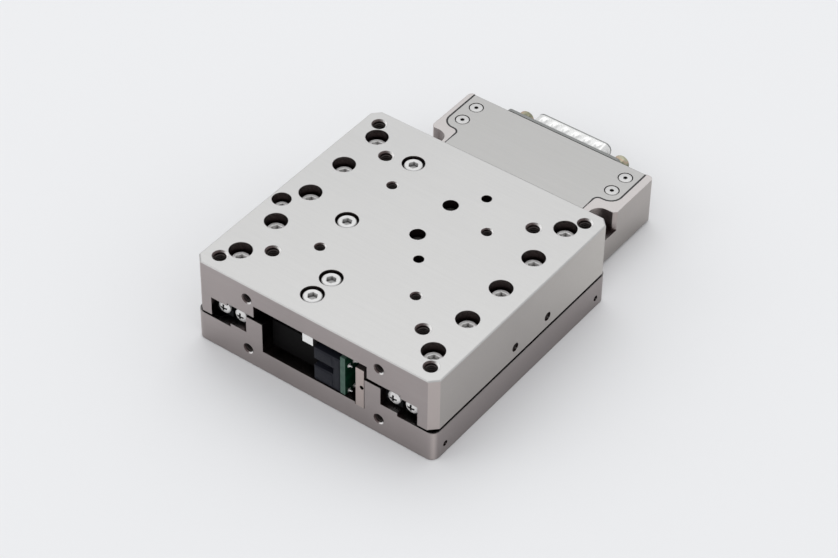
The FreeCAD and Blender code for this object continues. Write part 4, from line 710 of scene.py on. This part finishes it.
class Piece:
    """One mesh piece, built in millimetres of the row frame."""

    def __init__(self, name):
        self.name = name
        self.mesh = bmesh.new()

    def ring(self, spots):
        return [self.mesh.verts.new(spot) for spot in spots]

    def sides(self, low, high):
        """Faces between two closed rings of as many points."""
        for index in range(len(low)):
            after = (index + 1) % len(low)
            self.mesh.faces.new((low[index], low[after], high[after], high[index]))

    def walls(self, rings, closed=False):
        """Faces between each ring and the next, and with closed from the last to the first."""
        following = rings[1:] + rings[:1] if closed else rings[1:]
        for low, high in zip(rings, following):
            self.sides(low, high)

    def bar(self, rings):
        """A closed solid along a row of rings, flat at both ends."""
        self.walls(rings)
        self.mesh.faces.new(rings[0])
        self.mesh.faces.new(rings[-1])

    def tip(self, ring, spot):
        """Faces from a ring to one point."""
        point = self.mesh.verts.new(spot)
        for index, vertex in enumerate(ring):
            self.mesh.faces.new((vertex, ring[(index + 1) % len(ring)], point))

    def stack(self, place, towards, rings, ends, count=36):
        """A closed solid round an axis: outlines at their heights, and a point at either end."""
        spot = around(place, towards)
        made = []
        for outline, height in rings:
            spots = []
            for index in range(count):
                angle = TURN * index / count
                reach = outline(angle)
                spots.append(spot(reach, angle, height(reach) if callable(height) else height))
            made.append(self.ring(spots))
        self.walls(made)
        self.tip(made[0], spot(0, 0, ends[0]))
        self.tip(made[-1], spot(0, 0, ends[1]))

    def ridge(self, place, towards, radius, pitch, turns):
        """A thread that winds into a hole from its mouth, as one closed strip."""
        spot = around(place, towards)
        proud = pitch * RIDGE_PROUD
        rows = []
        steps = turns * RIDGE_POINTS
        for index in range(steps + 1):
            angle, turned = TURN * index / RIDGE_POINTS, index / RIDGE_POINTS
            fade = min(1.0, 2 * turned + 0.05, 2 * (steps - index) / RIDGE_POINTS + 0.05)
            crest = -proud * fade
            profile = ((RIDGE_ROOT, -0.42), (crest, -0.08), (crest, 0.08), (RIDGE_ROOT, 0.42))
            rows.append(
                self.ring(spot(radius + out, angle, pitch * (along - 0.5 - turned)) for out, along in profile)
            )
        self.bar(rows)

    def prism(self, outline, front, back, soft):
        """An outline in X and Z, drawn from one Y to another, with broken edges."""
        near = self.ring((x, front, z) for x, z in outline)
        far = self.ring((x, back, z) for x, z in outline)
        before = set(self.mesh.faces)
        self.bar([near, far])
        edges = {edge for face in set(self.mesh.faces) - before for edge in face.edges}
        bmesh.ops.bevel(self.mesh, geom=list(edges), offset=soft, segments=2, affect="EDGES", profile=0.6)

    def block(self, low, high, soft):
        """A box with broken edges."""
        corners = [(low[0], low[2]), (high[0], low[2]), (high[0], high[2]), (low[0], high[2])]
        self.prism(corners, low[1], high[1], soft)

    def finish(self, body, slot, paint=None, replaced=(), smooth=32):
        """Turns the piece into an object in metres that rides on a body."""
        bmesh.ops.recalc_face_normals(self.mesh, faces=self.mesh.faces)
        for vertex in self.mesh.verts:
            vertex.co *= MM
        data = bpy.data.meshes.new(self.name)
        self.mesh.to_mesh(data)
        self.mesh.free()
        data.polygons.foreach_set("use_smooth", [True] * len(data.polygons))
        data.set_sharp_from_angle(angle=math.radians(smooth))
        data.materials.append(PAINTS[paint or slot])
        made = bpy.data.objects.new(self.name, data)
        scene.collection.objects.link(made)
        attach(made, body)
        if replaced:
            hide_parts(*replaced)


# Screws

M3_CAP = {"head": 5.5, "high": 3.0, "shank": 3.0}
RAIL_SCREWS_Y = (-30, -15, 0, 15, 30)
OUTER_RAIL_X, OUTER_RAIL_SEAT = 32, 22.2
INNER_RAIL_X, INNER_RAIL_SEAT = 25, 3.4
TABLE_SEAT = 24.5
PRELOAD_Y, PRELOAD_HIGH = (-4, 11), 14.2
END_SCREW_Y, END_SCREW_HIGH = 37.5, 13.75
# Radius of the thread in its drilled hole, and its pitch
M4, M3, M2 = (1.775, 0.7), (1.35, 0.5), (0.875, 0.4)
# Where the threads start, just inside the table's top and the stage's front and right side
TOP_M4, TOP_M3, FRONT_MOUTH, RIGHT_MOUTH = 27.6, 27.7, -39.7, 39.9


def cap_screw(piece, place, towards, head, high, shank, long, key):
    """A cap screw with a knurled head and a hexagon socket, seated at the place."""
    wall, core, floor = head / 2, shank / 2, high / 2
    teeth = knurl(wall, 0.07)
    rings = [(circle(core - 0.3), -long)]
    rings += thread_rings(core, 0.3 - long, -0.25 * long, pitch=0.5, deep=0.22)
    rings += [
        (circle(core), -0.2 * long),
        (circle(core), 0),
        (circle(wall - 0.12), 0),
        (teeth, 0.12),
        (teeth, high - 0.5),
        (circle(wall - 0.03), high - 0.42),
        (circle(wall - 0.12), high - 0.16),
        (circle(wall - 0.34), high),
        (hexagon(key * 1.12), high),
        (hexagon(key), high - 0.12),
        (hexagon(key), floor),
        (circle(key * 0.42), floor - 0.02),
    ]
    piece.stack(place, towards, rings, (-long, floor - 0.28 * key))


def pan_screw(piece, place, towards, head, high, shank, long, arm):
    """A domed screw with a cross recess, seated at the place."""
    wall, core = head / 2, shank / 2

    def dome(reach):
        return high * (1 - 0.5 * (reach / wall) ** 2.4)

    rings = [(circle(core - 0.25), -long)]
    rings += thread_rings(core, 0.25 - long, -0.3, pitch=0.4, deep=0.18)
    rings += [
        (circle(core), -0.1),
        (circle(core), 0),
        (circle(wall - 0.1), 0),
        (circle(wall), 0.1),
        (circle(wall), dome),
        (circle(wall * 0.9), dome),
        (circle(wall * 0.76), dome),
        (halfway(circle(wall * 0.68), cross(arm)), dome),
        (cross(arm), dome),
        (cross(arm * 0.92), high - 0.28),
        (cross(arm * 0.62), high - 0.8),
    ]
    piece.stack(place, towards, rings, (-long, high - 1.0), count=48)


def flush_screw(piece, place, towards):
    """A flat cover screw with a small socket, its head's underside at the place."""
    rings = [(circle(0.75), -4.0)]
    rings += thread_rings(1.0, -3.8, -0.4, pitch=0.4, deep=0.18)
    rings += [
        (circle(1.0), 0),
        (circle(1.86), 0),
        (circle(1.96), 0.1),
        (circle(1.96), 0.74),
        (circle(1.88), 0.87),
        (circle(1.74), 0.9),
        (hexagon(1.22), 0.9),
        (hexagon(1.1), 0.82),
        (hexagon(1.1), 0.3),
    ]
    piece.stack(place, towards, rings, (-4.0, 0.1))


def set_screw(piece, place, towards, wide, long, key):
    """A headless screw, its outer end at the place."""
    core = wide / 2
    rings = [(circle(core - 0.4), -long), (circle(core - 0.05), 0.4 - long)]
    rings += thread_rings(core, 0.45 - long, -0.3, pitch=0.5, deep=0.2)
    rings += [
        (circle(core - 0.15), 0),
        (hexagon(key * 1.1), 0),
        (hexagon(key), -0.1),
        (hexagon(key), -long * 0.4),
    ]
    piece.stack(place, towards, rings, (-long + 0.3, -long * 0.5))


def make_row(name, draw, spots, body, replaced, slot="screw_steel", paint=None, **sizes):
    """One piece with a screw at each spot: a place, and the way that its head looks."""
    piece = Piece(name)
    for place, towards in spots:
        draw(piece, place, towards, **sizes)
    piece.finish(body, slot, paint, [replaced])


def make_screws():
    """Every screw that shows, with the head, socket and thread that its solid leaves out."""
    for side, hand in ((-1, "left"), (1, "right")):
        upper = [((OUTER_RAIL_X * side, y, OUTER_RAIL_SEAT), UP) for y in RAIL_SCREWS_Y]
        make_row(
            f"rail_cap_screws_upper_{hand}", cap_screw, upper,
            "table", f"outer_rail_screws_{hand}", paint="screw_deep", **M3_CAP, long=10.0, key=2.9,
        )
        lower = [((INNER_RAIL_X * side, y, INNER_RAIL_SEAT), DOWN) for y in RAIL_SCREWS_Y]
        make_row(
            f"rail_cap_screws_lower_{hand}", cap_screw, lower,
            "base", f"inner_rail_screws_{hand}", **M3_CAP, long=12.0, key=2.5,
        )
    make_row(
        "yoke_cap_screws", cap_screw, [((-17, y, TABLE_SEAT), UP) for y in (27, -3)],
        "table", "yoke_screws", **M3_CAP, long=6.0, key=2.5,
    )
    make_row(
        "bracket_cap_screws", cap_screw, [((-6, y, TABLE_SEAT), UP) for y in (-24, -32)],
        "table", "flag_bracket_screws", **M3_CAP, long=6.0, key=2.5,
    )
    make_row(
        "scale_cap_screws", cap_screw, [((1.7, y, 23.7), UP) for y in (3.85, 18.9)],
        "table", "scale_holder_screws", paint="screw_dark", head=3.8, high=2.0, shank=2.0, long=6.0, key=1.5,
    )
    make_row(
        "stop_cap_screw", cap_screw, [((-36.5, -7, 22.9), UP)],
        "table", "stop_screw", paint="screw_deep", head=4.5, high=2.5, shank=2.5, long=15.9, key=2.0,
    )
    make_row(
        "preload_set_screws", set_screw, [((38.2, y, PRELOAD_HIGH), RIGHT) for y in PRELOAD_Y],
        "table", "preload_screws", slot="set_screw_black", wide=2.66, long=3.6, key=1.3,
    )
    for name, body, x in (("inner", "base", 25.65), ("outer", "table", 31.4)):
        corners = [(side, end) for side in (-1, 1) for end in (-1, 1)]
        ends = [((side * x, end * END_SCREW_Y, END_SCREW_HIGH), (0, end, 0)) for side, end in corners]
        make_row(
            f"{name}_end_screws", pan_screw, ends, body, f"{name}_rail_end_screws", paint="screw_end",
            head=4.0, high=1.3, shank=2.0, long=4.0, arm=1.15,
        )
    make_row(
        "cover_flat_screws", flush_screw, [((x, y, 14.6), UP) for x in (-26.5, 25.5) for y in (63.6, 70.5)],
        "base", "cover_screws", paint="screw_flush",
    )


def make_threads():
    """The threads inside the tapped holes, from just below each mouth."""
    piece = Piece("table_threads")
    for x in (-1, 1):
        for y in (-1, 1):
            piece.ridge((35 * x, 35 * y, TOP_M4), UP, *M4, turns=9)
            piece.ridge((25 * x, 25 * y, TOP_M4), UP, *M4, turns=9)
            piece.ridge((16 * x, 16 * y, TOP_M3), UP, *M3, turns=11)
        piece.ridge((22 * x, FRONT_MOUTH, 23.2), FRONT, *M3, turns=9)
    for y in PRELOAD_Y:
        piece.ridge((RIGHT_MOUTH, y, PRELOAD_HIGH), RIGHT, *M3, turns=2)
    piece.finish("table", "ground_metal", "bore_metal")

    piece = Piece("base_threads")
    for side in (-1, 1):
        piece.ridge((22 * side, FRONT_MOUTH, 5.1), FRONT, *M3, turns=9)
        piece.ridge((RIGHT_MOUTH, 35 * side, 3.2), RIGHT, *M2, turns=4)
    piece.finish("base", "ground_metal", "bore_metal")


# Connector

CONNECTOR_X, CONNECTOR_HIGH = 0.5, 9.25
BOX_BACK, FLANGE_BACK = 75.4, 76.4
SHELL_CORNERS = [(-11.5, -4.2), (11.5, -4.2), (13.0, 4.2), (-13.0, 4.2)]
FLANGE_CORNERS = [(-19.6, -6.2), (19.6, -6.2), (19.6, 6.2), (-19.6, 6.2)]
CORNER_STEPS = 6
SHELL_STEP = 0.3
# The dimples pressed into the shell: spacing, half width, half length, depth, and the Y of their middles
DIMPLE_PITCH, DIMPLE_WIDE, DIMPLE_LONG, DIMPLE_DEEP, DIMPLE_Y = 3.75, 1.05, 1.5, 0.3, 79.6
PIN_FOOT, PIN_PITCH = 77.6, 2.77
# How many pins are in each row, and how far it lies above the connector's middle
PIN_ROWS = ((8, 1.42), (7, -1.42))
JACK_X = 16.65


def rounded(corners, radius, spacing):
    """Points and outward normals along a convex outline whose corners are rounded."""
    points = []
    count = len(corners)
    for index in range(count):
        corner, after, following = (Vector(corners[(index + step) % count]) for step in range(3))
        inward = (corner - Vector(corners[index - 1])).normalized()
        onward, leaving = (after - corner).normalized(), (following - after).normalized()
        bend, next_bend = inward.angle(onward), onward.angle(leaving)
        centre = corner - inward * radius * math.tan(bend / 2) + Vector((-inward.y, inward.x)) * radius
        for step in range(CORNER_STEPS + 1):
            out = Matrix.Rotation(bend * step / CORNER_STEPS, 2) @ Vector((inward.y, -inward.x))
            points.append((centre + out * radius, out))
        start = corner + onward * radius * math.tan(bend / 2)
        run = after - onward * radius * math.tan(next_bend / 2) - start
        parts = max(1, round(run.length / spacing))
        for part in range(1, parts):
            points.append((start + run * part / parts, Vector((onward.y, -onward.x))))
    return points


def dimple(x, y):
    """How deep the shell is pressed in at a place on its long sides."""
    across = (abs(x / DIMPLE_PITCH % 1 - 0.5) * DIMPLE_PITCH) / DIMPLE_WIDE
    along = (y - DIMPLE_Y) / DIMPLE_LONG
    if abs(x) > 3 * DIMPLE_PITCH or across > 1 or abs(along) > 1:
        return 0.0
    return DIMPLE_DEEP * (1 - across**2) ** 1.5 * (1 - along**2) ** 1.5


def sleeve(piece, border, profile):
    """A closed tube round the connector, from its profile: the way out from the border, and the Y of it."""
    rings = []
    for offset, y in profile:
        spots = []
        for point, normal in border:
            long_side = abs(normal.y) > 0.99
            spot = point + normal * (offset - (dimple(point.x, y) if long_side else 0.0))
            spots.append((spot.x + CONNECTOR_X, y, spot.y + CONNECTOR_HIGH))
        rings.append(piece.ring(spots))
    piece.walls(rings, closed=True)


def make_shell():
    """The connector's drawn shell with its rim, and its flange."""
    border = rounded(SHELL_CORNERS, 2.0, SHELL_STEP)
    outside = [(0.45, 76.2), (0.45, 76.4), (0.16, 76.5), (0.03, 76.75), (0.0, 77.1)]
    outside += [(0.0, 77.4 + SHELL_STEP * step) for step in range(16)]
    lip = [(-0.04, 82.2), (-0.16, 82.36), (-0.3, 82.4), (-0.44, 82.34)]
    inside = [(-0.5, 82.1 - SHELL_STEP * step) for step in range(17)] + [(-0.5, 76.2)]
    piece = Piece("connector_shell")
    sleeve(piece, border, outside + lip + inside)
    piece.finish("base", "shell_bright", replaced=["plug_shell"], smooth=60)

    piece = Piece("connector_rim")
    rim = ((0.02, 81.9), (0.04, 82.25), (-0.06, 82.4), (-0.4, 82.45), (-0.54, 82.3), (-0.54, 81.9))
    sleeve(piece, border, rim)
    piece.finish("base", "shell_bright", "shell_edge")

    piece = Piece("connector_flange")
    plate = rounded(FLANGE_CORNERS, 1.2, 4.0)
    outline = [(point.x + CONNECTOR_X, point.y + CONNECTOR_HIGH) for point, _ in plate]
    piece.prism(outline, BOX_BACK, FLANGE_BACK, 0.12)
    piece.finish("base", "shell_bright", "shell_edge")


def make_pins():
    """The connector's two rows of contacts."""
    piece = Piece("contact_pins")
    rings = [(circle(0.5), 0), (circle(0.5), 3.6), (circle(0.42), 3.95), (circle(0.24), 4.15)]
    for count, rise in PIN_ROWS:
        for number in range(count):
            x = CONNECTOR_X + (number - (count - 1) / 2) * PIN_PITCH
            piece.stack((x, PIN_FOOT, CONNECTOR_HIGH + rise), BACK, rings, (0, 4.2), count=16)
    piece.finish("base", "pin_gold", replaced=["plug_pins"])


def make_jacks():
    """The two hexagon posts with tapped bores that hold a plug."""
    piece = Piece("jack_posts")
    bolt = hexagon(4.8)
    rings = [(circle(1.1), -5.0), (circle(1.4), -4.7)]
    rings += thread_rings(1.4, -4.6, -0.6, pitch=0.6, deep=0.2)
    rings += [
        (circle(1.4), -0.2),
        (circle(1.4), 0),
        (within(bolt, circle(2.35)), 0),
        (within(bolt, circle(2.72)), 0.4),
        (within(bolt, circle(2.75)), 4.6),
        (within(bolt, circle(2.62)), 5.2),
        (within(bolt, circle(2.38)), 5.75),
        (circle(2.05), 6.1),
        (circle(1.5), 6.1),
        (circle(1.25), 5.85),
        (circle(1.25), 1.8),
    ]
    for side in (-1, 1):
        piece.stack((CONNECTOR_X + JACK_X * side, FLANGE_BACK, CONNECTOR_HIGH), BACK, rings, (-5.0, 1.3))
    piece.finish("base", "jack_brass", replaced=["plug_jack_screws"])


# Cover joint

# The joint's middle, half of its width, and its lower and upper edge
JOINT_X, JOINT_HALF, JOINT_LOW, JOINT_HIGH = -0.5, 0.27, 14.6, 15.52
ARC_STEPS = 8


def arc(centre, radius, start, end):
    """Points along an arc, from one angle in degrees to another."""
    angles = [math.radians(start + (end - start) * step / ARC_STEPS) for step in range(ARC_STEPS + 1)]
    return [(centre[0] + radius * math.cos(angle), centre[1] + radius * math.sin(angle)) for angle in angles]


def make_joint():
    """The dark joint between the box and its cover, drawn as its right half and the mirror image."""
    half = [(29.875, 75.1), (29.875, 68.0)]
    half += arc((26.25, 62.55), 3.625, 0, -90)
    half += arc((25.55, 57.25), 1.675, 90, 180)
    half += [(23.875, 51.875)]
    path = [Vector(spot) for spot in half + [(-x, y) for x, y in reversed(half)]]
    piece = Piece("cover_joint")
    rows = []
    for index, spot in enumerate(path):
        before, after = path[max(index - 1, 0)], path[min(index + 1, len(path) - 1)]
        onward = (after - before).normalized()
        side = Vector((onward.y, -onward.x)) * JOINT_HALF
        left, right = spot - side, spot + side
        corners = ((left, JOINT_LOW), (right, JOINT_LOW), (right, JOINT_HIGH), (left, JOINT_HIGH))
        rows.append(piece.ring((corner.x + JOINT_X, corner.y, z) for corner, z in corners))
    piece.bar(rows)
    piece.finish("base", "lead_rubber")


# Sensor side

HOUSING_FRONT, HOUSING_BACK = -39.6, -34.5
HOUSING_OUTLINE = (
    (0.3, 6.9), (9.1, 6.9), (9.1, 18.4), (0.3, 18.4), (0.3, 14.4), (6.85, 14.4), (6.85, 12.0), (0.3, 12.0),
)
# Raised panels on the housing's front, and the windows above and below its slot
HOUSING_PANELS = (
    ((0.75, -39.7, 14.9), (6.3, -39.5, 17.9)),
    ((0.75, -39.7, 7.4), (6.3, -39.5, 11.5)),
    ((7.2, -39.7, 7.4), (8.7, -39.5, 17.9)),
    ((2.2, -38.2, 14.2), (4.4, -36.2, 14.5)),
    ((2.2, -38.2, 11.9), (4.4, -36.2, 12.2)),
)
BOARD_FACE = 10.7
# Y and Z of the small parts on the board
SMALL_PARTS = (
    (-31.5, 9.2), (-31.5, 11.4), (-28.8, 15.6), (-20.4, 9.6), (-17.2, 9.6), (-14.0, 14.8), (4.2, 9.2),
)
CHIP_Y, CHIP_HIGH = -7.8, 12.2
LEG_Y, LEG_PITCH, LEGS = -9.7, 1.27, 4


def on_board(piece, y, z, long, wide, high, soft):
    """A small box on the face of the sensor board, centred on a place."""
    low = (BOARD_FACE, y - long / 2, z - wide / 2)
    piece.block(low, (BOARD_FACE + high, y + long / 2, z + wide / 2), soft)


def make_sensor():
    """The limit sensor's moulded housing and its solder joints."""
    piece = Piece("sensor_housing")
    piece.prism(HOUSING_OUTLINE, HOUSING_FRONT, HOUSING_BACK, 0.12)
    for low, high in HOUSING_PANELS:
        piece.block(low, high, 0.05)
    piece.finish("base", "sensor_plastic", replaced=["limit_sensor"])

    piece = Piece("solder_joints")
    rings = [(circle(0.72), 0), (circle(0.7), 0.06), (circle(0.46), 0.2), (circle(0.3), 0.45)]
    rings += [(circle(0.24), 0.6), (circle(0.24), 0.95), (circle(0.16), 1.06)]
    for y in (-37.9, -35.7):
        for z in (7.4, 16.4):
            piece.stack((BOARD_FACE, y, z), RIGHT, rings, (0, 1.1), count=20)
    piece.finish("base", "solder", replaced=["sensor_leads"])


def make_board_parts():
    """The small parts, the chip and the connector on the sensor board, and their soldered ends."""
    parts = Piece("board_parts")
    ends = Piece("board_part_ends")
    for y, z in SMALL_PARTS:
        on_board(parts, y, z, long=1.5, wide=0.8, high=0.45, soft=0.04)
        for side in (-1, 1):
            on_board(ends, y + side * 0.95, z, long=0.5, wide=0.86, high=0.48, soft=0.05)
    on_board(parts, CHIP_Y, CHIP_HIGH, long=4.8, wide=4.0, high=1.3, soft=0.1)
    on_board(parts, 14.0, 11.4, long=7.0, wide=4.8, high=1.7, soft=0.15)
    for side in (-1, 1):
        for number in range(LEGS):
            y = LEG_Y + number * LEG_PITCH
            on_board(ends, y, CHIP_HIGH + side * 2.5, long=0.4, wide=1.0, high=0.25, soft=0.04)
    parts.finish("base", "sensor_plastic")
    ends.finish("base", "solder")


make_camera()
make_world()
make_floor()
for softbox in SOFTBOXES:
    make_softbox(*softbox)
scene.view_settings.view_transform = "Standard"

PAINTS = make_paints()
dress_solids()

make_screws()
make_threads()
make_shell()
make_pins()
make_jacks()
make_joint()
make_sensor()
make_board_parts()

new_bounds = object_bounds()
boxes = {"cad": cad_bounds, "visual": new_bounds}
{key: [list(corner) for corner in box] for key, box in boxes.items()}
